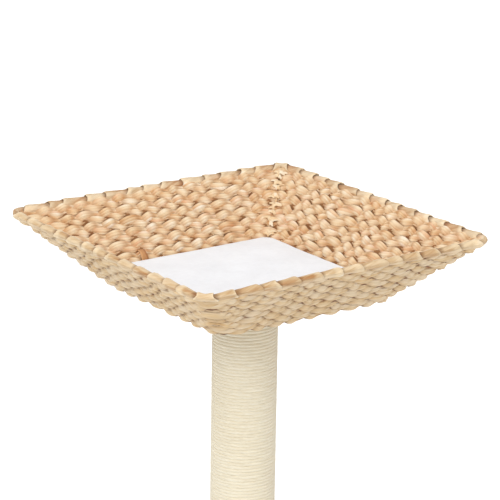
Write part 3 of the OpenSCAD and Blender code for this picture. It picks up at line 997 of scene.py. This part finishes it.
    def tie(self, middle: float) -> None:
        """Adds a reddish leaf band bound once round the row.

        Args:
            middle: Its middle's way along the row.
        """
        theta = around(self.tie_points)[None, :]
        t = np.array(self.tie_places)[:, None]
        thick = np.array(self.tie_heights)[:, None] * self.tie_t
        way = middle + self.tie_w * t + self.tie_wave * np.sin(3 * theta + 4 * t)
        pucker = self.tie_pucker * np.sin(5 * theta + 9 * t)
        across = (self.tie_reach[0] + thick + pucker) * np.cos(theta)
        depth = (self.tie_reach[1] + thick + pucker) * np.sin(theta)
        across, depth = self.leant(across, depth)
        points = self.line.spread(way.ravel(), across.reshape(-1, 1), depth.reshape(-1, 1))
        tone = self.rng.uniform(*self.tie_tone) + self.tie_fade * np.abs(t) ** 0.5 * np.sign(t) + 0 * theta
        grain = np.stack([theta * 5 * MM + 0 * t, self.tie_w * t + 0 * theta, 0 * way + 3.0], axis=-1)
        leaf = np.stack([tone, 0 * tone + self.tie_blush, 0 * tone + self.tie_gap], axis=-1)
        self.parts.tube(points.reshape(*way.shape, 3), grain, leaf, turned=True)

    def build(self, material: Material, ties: Sequence[float] = ()) -> Piece:
        """Makes the row.

        Args:
            material: The leaf's finish.
            ties: The way along the row of each leaf band bound round it.

        Returns:
            The piece.
        """
        phase = self.phase()
        self.core()
        for strand in range(self.strands):
            stray = self.strand_play * self.wander(*self.strand_waves)
            self.strand(phase + TURN * strand / self.strands + stray)
        self.join()
        for middle in ties:
            self.tie(middle)
        return self.parts.piece(f"plait_{self.number}", material)


class End(Enum):
    """How a rim wrap ends, tucked under its neighbour or raised over it.

    Each pair is a share of the wrap's length and its radius there in mm.
    """

    TUCKED = ((0.0, 2.85), (0.10, 2.95), (0.20, 3.10), (0.34, 3.36))
    RAISED = ((0.0, 3.40), (0.015, 3.95), (0.05, 4.30), (0.13, 4.42), (0.24, 4.25), (0.36, 3.95))


@dataclass
class RimBand:
    """The leaf wraps on the rim's wire, each with a raised end that laps over the next one's tail.

    The raised ends look towards the left and right corners. A wrap with two raised ends lies on the
    back corner and on the front corner, and one with two tucked ends on the left and the right.
    """

    line: SquareLine
    slope: float
    wraps: int = 13
    corner_wrap: float = 22 * MM
    play: float = 3.6 * MM
    folds: int = 8
    crease: float = 0.6 * MM
    crease_level: float = 0.6
    tucked_relief: float = 0.4
    tail: float = 8.0 * MM
    skin: float = 0.45 * MM
    waist: float = 3.62 * MM
    drop: float = 1.0 * MM
    stretch: Pair = (1.24, 1.0)
    # how the wraps differ in shape
    radius_play: Pair = (0.93, 1.06)
    slant_mm: Pair = (2.0, 5.0)
    slant_turn: float = 0.7
    hem_mm: Pair = (0.2, 1.1)
    dent_mm: Pair = (0.05, 0.25)
    pinch: float = 0.14 * MM
    ridge: float = 0.12 * MM
    fold_drift: float = 0.9
    # tone and blush
    tone: float = 0.36
    rise_tone: float = 0.10
    outside_tone: float = 0.10
    tone_play: float = 0.14
    ribbon_play: float = 0.16
    cap_from: Pair = (0.6, 0.85)
    cap_fade: float = 0.12
    cap_tone: Pair = (0.05, 0.38)
    blush: float = 0.35
    raised_blush: float = -0.5
    blush_play: Pair = (-0.3, 0.4)
    khaki: float = 0.5
    outside_turn: float = 0.6
    outside_level: float = 0.1
    # the way of the fibres, and the painted shade beside and under the raised ends
    seed_span: Pair = (0, 20)
    grain_turn: float = math.radians(24)
    grain_girth: float = 5 * MM
    crescent: float = 0.9 * MM
    lip: float = 0.02
    fade: float = 0.05
    shade: float = 0.6
    points: int = 28
    seed: int = 21

    def __post_init__(self) -> None:
        """Starts the band's mesh and random numbers."""
        self.rng = np.random.default_rng(self.seed)
        self.parts = MeshParts()

    def wrap(self, start: float, end: float, *ends: End) -> None:
        """Adds one wrap.

        Args:
            start: The way along the rim of its first end.
            end: The way along the rim of its last end, more than start.
            ends: How it ends at either.
        """
        rng = self.rng
        first = [(t, r * MM) for t, r in ends[0].value]
        last = [(1 - t, r * MM) for t, r in ends[1].value][::-1]
        outer_t, outer_r = np.array(first + [(0.5, self.waist)] + last).T
        outer_r = outer_r * rng.uniform(*self.radius_play)
        inner_t = outer_t[::-1][1:-1:2]
        inner_r = np.interp(inner_t, outer_t, outer_r) - self.skin
        t = np.concatenate([outer_t, inner_t])[:, None]
        radius = np.concatenate([outer_r, inner_r])[:, None]
        theta = around(self.points)[None, :]
        turn, lean, skew = rng.uniform(0, TURN, 3)
        steep = rng.uniform(*self.slant_mm) * MM
        slant = -steep * np.sin(theta + rng.uniform(-self.slant_turn, self.slant_turn))
        slant = slant + rng.uniform(*self.hem_mm) * MM * np.cos(2 * theta - skew)
        lift = np.interp(t, (0, 1), [float(kind is End.RAISED) for kind in ends])
        dent = rng.uniform(*self.dent_mm) * MM * np.cos(2 * theta - turn)
        dent = dent + self.pinch * np.cos(3 * theta + lean)
        ridge = self.ridge * np.sin(5 * t + 2 * theta + skew) * np.sin(8 * theta + 5 * t + turn)
        along = (end - start) * t + slant * (2 * t - 1) * lift
        folded = self.folds * (theta + rng.uniform(-self.fold_drift, self.fold_drift) * t) / 2 + turn
        crease = self.crease * (self.crease_level - np.abs(np.cos(folded)) ** 0.5)
        relief = self.tucked_relief + (1 - self.tucked_relief) * lift
        r = radius + (dent + ridge - crease) * relief
        centre, out, _, _ = self.line.at((start + along).ravel())
        up = out * math.cos(self.slope)
        up[:, 2] = math.sin(self.slope)
        inner = -out * math.sin(self.slope)
        inner[:, 2] = math.cos(self.slope)
        across = (r * self.stretch[0] * np.cos(theta - self.slope)).ravel() - self.drop
        depth = (r * self.stretch[1] * np.sin(theta - self.slope)).ravel()
        points = centre + across[:, None] * up + depth[:, None] * inner
        outside = np.clip(np.cos(theta - self.outside_turn) + self.outside_level, 0, 1)
        rise = np.abs(2 * t - 1) if ends[0] is ends[1] else lift
        cap = np.clip((rise - rng.uniform(*self.cap_from)) / self.cap_fade, 0, 1)
        cap = cap * rng.uniform(*self.cap_tone)
        ribbons = rng.uniform(-self.ribbon_play, self.ribbon_play, 4 * self.folds)
        ribbon = ribbons[np.floor(folded / math.pi).astype(int)]
        tone = self.tone + self.rise_tone * rise + cap - self.outside_tone * outside
        tone = tone + rng.uniform(-self.tone_play, self.tone_play) + ribbon
        rosy = self.blush + self.raised_blush * lift + rng.uniform(*self.blush_play)
        rosy = np.clip(rosy, 0, 1) * (1 - outside)
        rosy = rosy - self.khaki * outside
        leaf = np.stack([tone, rosy, self.gaps(t, end - start, ends, len(outer_t)) + 0 * theta], axis=-1)
        grain_cos, grain_sin = math.cos(self.grain_turn), math.sin(self.grain_turn)
        girth = theta * self.grain_girth
        grain = np.stack([
            along * grain_cos + girth * grain_sin, girth * grain_cos - along * grain_sin,
            0 * along + rng.uniform(*self.seed_span),
        ], axis=-1)
        self.parts.tube(points.reshape(*along.shape, 3), grain, leaf)

    def gaps(self, t: Array, length: float, ends: Sequence[End], outer: int) -> Array:
        """Gives how much painted shade each ring of a wrap takes.

        Args:
            t: Each ring's share of the wrap's length.
            length: The wrap's length.
            ends: How it ends.
            outer: How many rings lie on its outer side, before those on its inner side.

        Returns:
            A number from 0 to 1: shade beside the neighbour's raised end, on a raised end's own lip and
            on the whole inner side.
        """
        hem = (self.tail + self.crescent) / length
        gap_shade = 0 * t
        for kind, way in zip(ends, (t, 1 - t)):
            reach = (hem - way) / self.fade if kind is End.TUCKED else 1 - way / self.lip
            gap_shade = np.maximum(gap_shade, np.clip(reach, 0, 1) * self.shade)
        gap_shade[outer:] = self.shade
        return gap_shade

    def build(self, material: Material) -> Piece:
        """Makes all wraps as one piece.

        Args:
            material: The leaf's finish.

        Returns:
            The piece.
        """
        side = self.line.side
        half = self.corner_wrap / 2
        for wall, lay in enumerate(LAYS):
            corner = wall * side
            if lay is Lay.WITH:
                self.wrap(corner - half, corner + half, End.RAISED, End.RAISED)
            else:
                self.wrap(corner - half - self.tail, corner + half + self.tail, End.TUCKED, End.TUCKED)
            edges = np.linspace(corner + half, corner + side - half, self.wraps + 1)
            edges[1:-1] += self.rng.uniform(-self.play, self.play, self.wraps - 1)
            for start, end in zip(edges[:-1], edges[1:]):
                if lay is Lay.WITH:
                    self.wrap(start - self.tail, end, End.TUCKED, End.RAISED)
                else:
                    self.wrap(start, end + self.tail, End.RAISED, End.TUCKED)
        return self.parts.piece("rim_wraps", material)


@dataclass
class Basket:
    """The woven wall with its rim."""

    rim: SquareLine = field(default_factory=lambda: SquareLine(180 * MM, 15 * MM, 593.65 * MM))
    slope: float = math.radians(43)
    rows: int = 7
    row_pitch: float = 14.5 * MM
    first_run: float = 10.6 * MM
    top_lean: float = math.radians(7)
    lean: float = math.radians(14)
    tie_from_middle: float = 52 * MM
    tied_row: int = 6
    last_sway: float = 3.6 * MM
    last_strand_w: float = 10.6 * MM
    rim_tan: Triple = paint(206, 176, 138)
    rim_honey: Triple = paint(224, 202, 170)
    seed: int = 11

    def build(self) -> list[Piece]:
        """Makes the rows and the rim's band, and seats each on the stand.

        Returns:
            The pieces.
        """
        pieces = []
        leaf = LeafFinish("plaited_leaf").material()
        for number in range(1, self.rows + 1):
            run = self.first_run + (number - 1) * self.row_pitch
            line = WallLine(
                self.rim.half - run * math.cos(self.slope), self.rim.corner,
                self.rim.height - run * math.sin(self.slope), self.slope,
            )
            plait = Plait(number, line, self.top_lean if number == 1 else self.lean, self.seed)
            if number == self.rows:
                plait.sway, plait.strand_w = self.last_sway, self.last_strand_w
            ties = [line.side / 2 + self.tie_from_middle] if number == self.tied_row else []
            row = plait.build(leaf, ties)
            pieces.append(seat(row, Body.STAND, Slot.LEAF_PLAIT, f"weave_row_{number}"))
        rim_leaf = LeafFinish("rim_leaf", tan=self.rim_tan, honey=self.rim_honey).material()
        band = RimBand(self.rim, self.slope).build(rim_leaf)
        pieces.append(seat(band, Body.STAND, Slot.LEAF_BAND, "rim_binding"))
        return pieces


@dataclass
class RopeWinding:
    """The sisal rope wound on the post from end to end."""

    low: float
    high: float
    tube_r: float = 31 * MM
    pitch: float = 3.62 * MM
    rope_d: float = 4.1 * MM
    steps: int = 72
    points: int = 10
    start: float = math.radians(120)
    lay: float = 11 * MM
    plies: int = 3
    ply_share: float = 0.045
    slow_sag: float = 0.10 * MM
    slow_waves: Waves = (60, 900)
    quick_sag: float = 0.06 * MM
    quick_waves: Waves = (400, 1600)
    calm_turns: float = 0.5
    uneven: float = 0.03
    fat_waves: Waves = (200, 1500)
    reach_waves: Waves = (300, 1800)
    tone: float = 0.52
    tone_play: float = 0.10
    tone_waves: Waves = (100, 900)
    ply_tone: float = 0.12
    # the painted shade in the grooves: how much, and how it falls off round the rope
    groove_share: float = 0.35
    groove_slope: float = 0.8
    groove_level: float = 0.15
    grain_slant: float = 0.55
    fibres: int = 170
    fibre_r: float = 0.13 * MM
    fibre_spots: Pair = (0.02, 0.98)
    fibre_lift_mm: Pair = (0.6, 2.4)
    fibre_bend_mm: Pair = (-2.5, 2.5)
    fibre_way_mm: Pair = (5, 12)
    fibre_tone: Pair = (0.6, 0.9)
    fibre_root: float = 0.3 * MM
    fibre_power: float = 1.5
    fibre_taper: float = 0.6
    fibre_rings: int = 6
    fibre_points: int = 3
    seed: int = 5

    def build(self, material: Material) -> Piece:
        """Makes the winding as one rope with two cut ends.

        Args:
            material: The rope's finish.

        Returns:
            The piece.
        """
        rng = np.random.default_rng(self.seed)
        radius = self.rope_d / 2
        turns = (self.high - self.low - self.rope_d) / self.pitch
        rings = int(turns * self.steps)
        turn = np.linspace(0, turns, rings)
        angle = self.start + TURN * turn
        way = turn * (TURN * (self.tube_r + radius))
        wander = Wander(rng, way, way[-1])
        sag = self.slow_sag * wander(*self.slow_waves) + self.quick_sag * wander(*self.quick_waves)
        calm = np.clip(np.minimum(turn, turns - turn) / self.calm_turns, 0, 1)
        z = self.low + radius + self.pitch * turn + sag * calm
        fat = 1 + self.uneven * wander(*self.fat_waves)
        reach = self.tube_r + radius * (1.0 + self.uneven * wander(*self.reach_waves))
        theta = around(self.points)
        swell = np.cos(self.plies * theta[None, :] - (TURN * way / self.lay)[:, None])
        r = radius * fat[:, None] * (1 + self.ply_share * swell)
        out = np.column_stack([np.cos(angle), np.sin(angle), np.zeros(rings)])
        centre = out * reach[:, None] + UPRIGHT[None, :] * z[:, None]
        points = (
            centre[:, None, :] + (r * np.cos(theta))[:, :, None] * out[:, None, :]
            - (r * np.sin(theta))[:, :, None] * UPRIGHT
        )
        tone = self.tone + self.tone_play * wander(*self.tone_waves)[:, None] + self.ply_tone * swell
        # painted shade: darkest on the side against the tube, fading towards the outer side
        groove_shade = np.clip(-np.cos(theta) * self.groove_slope + self.groove_level, 0, 1)[None, :] + 0 * tone
        leaf = np.stack([tone, 0 * tone, self.groove_share * groove_shade], axis=-1)
        skew = (theta * radius)[None, :] - self.grain_slant * way[:, None]
        grain = np.stack([way[:, None] + 0 * skew, skew, 0 * skew + 1.0], axis=-1)
        parts = MeshParts()
        parts.tube(points, grain, leaf, closed=False, turned=True)
        for _ in range(self.fibres):
            spot = rng.uniform(*self.fibre_spots) * turns
            self.fibre(parts, rng, self.start + TURN * spot, self.low + radius + self.pitch * spot)
        return parts.piece("rope_winding", material)

    def fibre(self, parts: MeshParts, rng: Draws, angle: float, height: float) -> None:
        """Adds one loose fibre that leaves the rope and curls away from it.

        Args:
            parts: What it is added to.
            rng: The source of random numbers.
            angle: Where it leaves the rope, round the post.
            height: Where it leaves the rope, up the post.
        """
        t = np.linspace(0, 1, self.fibre_rings)
        lift, bend = rng.uniform(*self.fibre_lift_mm) * MM, rng.uniform(*self.fibre_bend_mm) * MM
        turn = angle + rng.choice([-1, 1]) * rng.uniform(*self.fibre_way_mm) * MM / self.tube_r * t
        reach = self.tube_r + self.rope_d - self.fibre_root + lift * t ** self.fibre_power
        z = height + rng.uniform(-1, 1) * MM + bend * t
        centre = np.column_stack([np.cos(turn) * reach, np.sin(turn) * reach, z])
        out = np.column_stack([np.cos(turn), np.sin(turn), 0 * turn])
        theta = around(self.fibre_points)[None, :]
        r = self.fibre_r * (1 - self.fibre_taper * t)[:, None]
        points = centre[:, None, :] + (r * np.cos(theta))[:, :, None] * out[:, None, :]
        points = points + (r * np.sin(theta))[:, :, None] * UPRIGHT
        grain = np.stack([t * 9 * MM, 0 * t, 0 * t + 2.0], axis=-1)[:, None, :] + 0 * points
        leaf = np.array([rng.uniform(*self.fibre_tone), 0.0, 0.0]) + 0 * points
        parts.tube(points, grain, leaf, closed=False)


@dataclass
class SquareSkin:
    """A skin of square rings with round corners, from a middle outwards, for the pad and the base's cover."""

    corner_points: int = 9
    side_points: int = 30
    roundest: float = 0.999
    least_side: float = 1e-6

    def ring(self, half: float, corner: float, height: float, draw: float = 0.0) -> Array:
        """Gives one ring.

        Args:
            half: Half its width.
            corner: Its corner radius.
            height: Its height.
            draw: How far its sides pull in between the corners.

        Returns:
            The ring's points.
        """
        line = SquareLine(half, min(corner, half * self.roundest), height)
        arc = np.linspace(0, line.arc, self.corner_points, endpoint=False)
        straight = line.arc + np.linspace(0, line.side - line.arc, self.side_points, endpoint=False)
        quarter = np.concatenate([arc, straight]) - line.arc / 2
        points, out, _, to_corner = line.at(np.concatenate([quarter + k * line.side for k in range(4)]))
        share = np.clip(to_corner / max(line.half - line.corner, self.least_side), 0, 1)
        return points - out * (draw * share * (2 - share))[:, None]

    def build(
        self, name: str, rings: Sequence[Array], material: Material, relief: Callable[[Array], Array],
        joined: bool = False,
    ) -> Piece:
        """Makes the piece.

        Args:
            name: The piece's name.
            rings: Its rings in order.
            material: Its finish.
            relief: Gives each point's outward shift from its place.
            joined: Whether the last ring joins the first, as round a hole; else both are closed over.

        Returns:
            The piece.
        """
        shell = np.stack(rings)
        parts = MeshParts()
        parts.tube(shell, 0 * shell, 0 * shell, closed=joined)
        made = parts.piece(name, material)
        points = shell.reshape(-1, 3)
        normals = np.empty(points.size, np.float32)
        made.data.vertex_normals.foreach_get("vector", normals)
        moved = points + normals.reshape(-1, 3) * relief(points)[:, None]
        made.data.vertices.foreach_set("co", moved.astype(np.float32).ravel())
        made.data.update()
        return made


@dataclass
class Pad:
    """The loose plush pad in the basket's floor."""

    edge_h: float = 5 * MM
    crown: float = 1.6 * MM
    lean: float = 5.4 * MM
    corner: float = 13 * MM
    draw: float = 1.5 * MM
    roll: float = 1.8 * MM
    seam: float = 0.5 * MM
    seat_gap: float = 0.1 * MM
    under_shares: Triple = (0.15, 0.6, 0.9)
    edge_rings: int = 13
    crown_rings: int = 22
    crown_power: float = 2.6
    wide_hills: Hills = Hills(0.35 * MM, 60 * MM, seed=3)
    small_hills: Hills = Hills(0.12 * MM, 17 * MM, seed=4)

    def build(self) -> list[Piece]:
        """Makes the pad: a rolled edge with a seam round it and a low crown.

        Returns:
            The pad alone.
        """
        low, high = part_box("pad_cover")
        half = high[0]
        bottom = low[2] + self.seat_gap
        skin = SquareSkin()
        foot = half - self.lean
        rings = [skin.ring(foot * share, self.corner * share, bottom) for share in self.under_shares]
        for step in range(self.edge_rings):
            a = math.radians(180 * step / (self.edge_rings - 1) - 90)
            rise = (1 + math.sin(a)) / 2
            seam = self.seam if 2 * step == self.edge_rings - 1 else 0.0
            inset = self.roll * (1 - math.cos(a)) + self.lean * (1 - rise) + seam
            height = bottom + self.edge_h * rise
            rings.append(skin.ring(half - inset, self.corner - inset / 2, height, self.draw))
        for share in np.linspace(0.96, 0.04, self.crown_rings):
            height = bottom + self.edge_h + self.crown * (1 - share ** self.crown_power)
            reach = (half - self.roll) * share
            rings.append(skin.ring(reach, self.corner * share, height, self.draw * share))

        def relief(points: Array) -> Array:
            """Shapes low hollows and hills in the plush, none on the underside.

            Args:
                points: Where they are read.

            Returns:
                The shift at each point.
            """
            top = np.clip((points[:, 2] - bottom) / self.edge_h, 0, 1)
            return top * (self.wide_hills.at(points) + self.small_hills.at(points))

        pad = skin.build("plush_pad", rings, PlushFinish("pad_plush_finish").material(), relief)
        seat(pad, Body.PAD, Slot.PAD_PLUSH, "pad_cover")
        return [pad]


@dataclass
class BaseCover:
    """The plush cover stretched over the base board and stapled under it."""

    cloth_t: float = 2.5 * MM
    board_half: float = 200 * MM
    board_corner: float = 12 * MM
    hem: float = 30 * MM
    bolt_hole: float = 4.3 * MM
    board_gap: float = 0.02 * MM
    flat_rings: int = 25
    fold_rings: int = 7
    hills: Hills = Hills(0.25 * MM, 45 * MM, seed=8)
    post_reach: float = 36 * MM
    post_fade: float = 30 * MM

    def lying(self, share: float, height: float) -> Triple:
        """Gives the half width, corner and height of a flat ring, at a share of the way from hole to edge."""
        hole = self.bolt_hole
        return (hole + (self.board_half - hole) * share, hole + (self.board_corner - hole) * share, height)

    def folded(self, degrees: float, height: float) -> Triple:
        """Gives the half width, corner and height of a ring on the fold over the board's edge.

        Args:
            degrees: How far round the fold it lies, from level outwards.
            height: The height of the fold's middle.

        Returns:
            The ring's half width, corner and height.
        """
        angle = math.radians(degrees)
        reach = self.cloth_t * math.cos(angle)
        return (self.board_half + reach, self.board_corner + reach, height + self.cloth_t * math.sin(angle))

    def build(self) -> list[Piece]:
        """Makes the cover as one closed sheet with a hole for the bolt and a hem under the board.

        Returns:
            The cover alone.
        """
        low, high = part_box("base_cover")
        top, under = high[2], low[2]
        inner = top - self.cloth_t
        floor = under + self.cloth_t
        board_t = inner - floor
        wide, corner = self.board_half, self.board_corner
        shares = np.linspace(0, 1, self.flat_rings + 1)[:-1]
        steps = [90 / (self.fold_rings - 1) * step for step in range(self.fold_rings)]
        specs = [self.lying(share, top) for share in shares]
        specs += [self.folded(90 - step, inner) for step in steps]
        specs += [self.folded(0, inner - board_t * share) for share in (0.25, 0.5, 0.75)]
        specs += [self.folded(-step, floor) for step in steps]
        specs += [(wide - self.hem * share, corner, under) for share in (0.3, 0.6, 0.85, 1.0)]
        specs += [(wide - self.hem * share, corner, floor) for share in (1.0, 0.6, 0.3, 0.02)]
        specs += [(wide + self.board_gap, corner, floor + board_t * share) for share in (0.05, 0.5, 0.95)]
        specs += [self.lying(share, inner) for share in shares[::-1]]

        def relief(points: Array) -> Array:
            """Shapes soft hills in the outer face of the top and its folds, away from the post.

            Args:
                points: Where they are read.

            Returns:
                The shift at each point.
            """
            from_post = np.linalg.norm(points[:, :2], axis=1) - self.post_reach
            away = np.clip(from_post / self.post_fade, 0, 1)
            upper = np.clip((points[:, 2] - inner) / self.cloth_t, 0, 1)
            return away * upper * (self.hills.at(points) - self.hills.height)

        skin = SquareSkin()
        finish = PlushFinish("base_plush_finish").material()
        cover = skin.build("plush_cover", [skin.ring(*spec) for spec in specs], finish, relief, joined=True)
        seat(cover, Body.STAND, Slot.BASE_PLUSH, "base_cover")
        return [cover]


@dataclass
class Post:
    """The rope wound post."""

    end_gap: float = 0.4 * MM

    def build(self) -> list[Piece]:
        """Winds the rope from the base's cover to the basket's floor.

        Returns:
            The rope alone.
        """
        low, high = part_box("post_tube")
        winding = RopeWinding(low[2] + self.end_gap, high[2] - self.end_gap)
        rope = winding.build(SisalFinish("sisal_finish").material())
        return [seat(rope, Body.STAND, Slot.SISAL, "rope_turns", "rope_sleeve")]


@dataclass
class Hardware:
    """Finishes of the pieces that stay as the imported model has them."""

    wire: MetalFinish = MetalFinish("wire_finish", paint(104, 78, 56), paint(132, 102, 76), 0.5)
    steel: MetalFinish = MetalFinish("steel_finish", paint(176, 178, 182), paint(214, 216, 220), 0.35)
    board: GrainFinish = GrainFinish(
        "board_finish", paint(176, 142, 98), paint(206, 174, 128), 260.0, 0.2 * MM, 0.8,
    )
    wood: GrainFinish = GrainFinish(
        "plug_finish", paint(190, 148, 98), paint(224, 188, 138), 6.0, 0.2 * MM, 0.65, (30.0, 30.0, 2.0),
    )
    card: GrainFinish = GrainFinish(
        "card_finish", paint(150, 122, 88), paint(178, 150, 114), 30.0, 0.1 * MM, 0.85, (1.0, 1.0, 14.0),
    )
    foam: GrainFinish = GrainFinish(
        "foam_finish", paint(232, 224, 196), paint(248, 243, 222), 900.0, 0.4 * MM, 0.9,
    )
    felt: GrainFinish = GrainFinish(
        "liner_finish", paint(34, 34, 36), paint(52, 52, 55), 700.0, 0.15 * MM, 0.9,
    )
    rubber: GrainFinish = GrainFinish(
        "foot_finish", paint(30, 30, 32), paint(44, 44, 47), 500.0, 0.05 * MM, 0.7,
    )

    def dress(self) -> None:
        """Gives each node its finish."""
        dressed = (
            (self.wire, ("rim_rod", "corner_stakes", "side_stakes")),
            (self.board, ("basket_floor", "base_board")),
            (self.foam, ("pad_foam",)),
            (self.card, ("post_tube",)),
            (self.wood, ("top_plug", "bottom_plug")),
            (self.steel, ("plug_nails", "threaded_inserts", "post_bolts", "cover_staples", "foot_screws")),
            (self.felt, ("base_liner",)),
            (self.rubber, ("feet",)),
        )
        for finish, nodes in dressed:
            material = finish.material()
            for node in nodes:
                holder = bpy.data.objects[node]
                if not holder.material_slots:
                    holder.data.materials.append(None)
                for slot in holder.material_slots:
                    slot.link = "OBJECT"
                    slot.material = material
                log.info("%s: %s", node, finish.name)


@dataclass(frozen=True)
class Lamp:
    """A square lamp aimed at the basket, with its size in metres and its power in watts."""

    name: str
    place: Triple
    size: float
    watts: float

    def build(self, aim_height: float) -> None:
        """Adds the lamp.

        Args:
            aim_height: The height of the point over the origin that it looks at.
        """
        data = bpy.data.lights.new(self.name, "AREA")
        data.energy = self.watts
        data.size = self.size
        made = placed(self.name, data)
        made.location = self.place
        aim = Vector((0, 0, aim_height)) - Vector(self.place)
        made.rotation_mode = "QUATERNION"
        made.rotation_quaternion = aim.to_track_quat("-Z", "Y")


@dataclass
class Studio:
    """Floor, light and the photograph's viewing angle."""

    azimuth: float = math.radians(-36.15)
    elevation: float = math.radians(16.79)
    roll: float = math.radians(0.94)
    distance: float = 2.539
    lens: float = 174.7
    view_end: float = 100.0
    aim_height: float = 599.15 * MM
    aim_right: float = 3.35 * MM
    aim_up: float = -30.5 * MM
    lamps: tuple[Lamp, ...] = (
        Lamp("key_lamp", (-2.2, -1.6, 2.6), 1.6, 44.0),
        Lamp("fill_lamp", (1.6, -2.6, 0.5), 2.0, 11.0),
        Lamp("side_lamp", (-2.6, -1.0, 0.5), 1.6, 6.0),
    )
    lamp_aim: float = 0.5
    sky: float = 0.85
    floor_half: float = 12.0
    floor_grey: float = 0.80
    floor_lift: float = 0.5

    def camera(self) -> None:
        """Sets the camera as the photograph's was, worked out from the basket's and the post's edges."""
        turn, rise, roll = self.azimuth, self.elevation, self.roll
        level = math.cos(rise)
        back = Vector((math.sin(turn) * level, -math.cos(turn) * level, math.sin(rise)))
        right = Vector((math.cos(turn), math.sin(turn), 0))
        up = back.cross(right)
        right, up = (
            math.cos(roll) * right + math.sin(roll) * up, -math.sin(roll) * right + math.cos(roll) * up,
        )
        place = Vector((0, 0, self.aim_height)) + self.aim_right * right + self.aim_up * up
        place += self.distance * back
        data = bpy.data.cameras.new("camera")
        data.lens = self.lens
        data.clip_end = self.view_end
        made = placed("camera", data)
        made.matrix_world = Matrix.Translation(place) @ Matrix((right, up, back)).transposed().to_4x4()
        bpy.context.scene.camera = made

    def world(self) -> None:
        """Sets a soft white sky that the camera sees as plain white."""
        world = bpy.data.worlds.new("studio_sky")
        world.use_nodes = True
        tree = Nodes(world.node_tree)
        sky, plain = (
            tree.node("Background", {"Color": WHITE, "Strength": strength}).outputs[0]
            for strength in (self.sky, 1.0)
        )
        shown = tree.node("MixShader", {0: tree.seen(), 1: sky, 2: plain}).outputs[0]
        tree.node("OutputWorld", {"Surface": shown})
        bpy.context.scene.world = world

    def floor(self) -> None:
        """Lays a pale floor, lifted to white for the camera but keeping the object's shadow."""
        half = self.floor_half
        mesh = bpy.data.meshes.new("floor")
        corners = [(-half, -half, 0), (half, -half, 0), (half, half, 0), (-half, half, 0)]
        mesh.from_pydata(corners, [], [(0, 1, 2, 3)])
        tree = ShaderTree("floor_finish")
        grey = (self.floor_grey, self.floor_grey, self.floor_grey)
        mesh.materials.append(tree.finish(
            Base_Color=grey, Roughness=1.0, Specular_IOR_Level=0.0, Emission_Color=WHITE,
            Emission_Strength=tree.scaled(tree.seen(), self.floor_lift),
        ))
        placed("floor", mesh)

    def build(self) -> None:
        """Sets the camera, the light and the floor."""
        self.camera()
        self.world()
        for lamp in self.lamps:
            lamp.build(self.lamp_aim)
        self.floor()
        bpy.context.scene.view_settings.view_transform = "Standard"


def main() -> None:
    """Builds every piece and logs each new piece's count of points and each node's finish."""
    logging.basicConfig(level=logging.INFO, format="%(message)s")
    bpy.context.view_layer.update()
    Studio().build()
    log.info("studio: camera, lamps and floor")
    for assembly in (Basket(), Post(), Pad(), BaseCover()):
        for piece in assembly.build():
            log.info("%s: %d points", piece.name, len(piece.data.vertices))
    Hardware().dress()


if __name__ == "__main__":
    main()
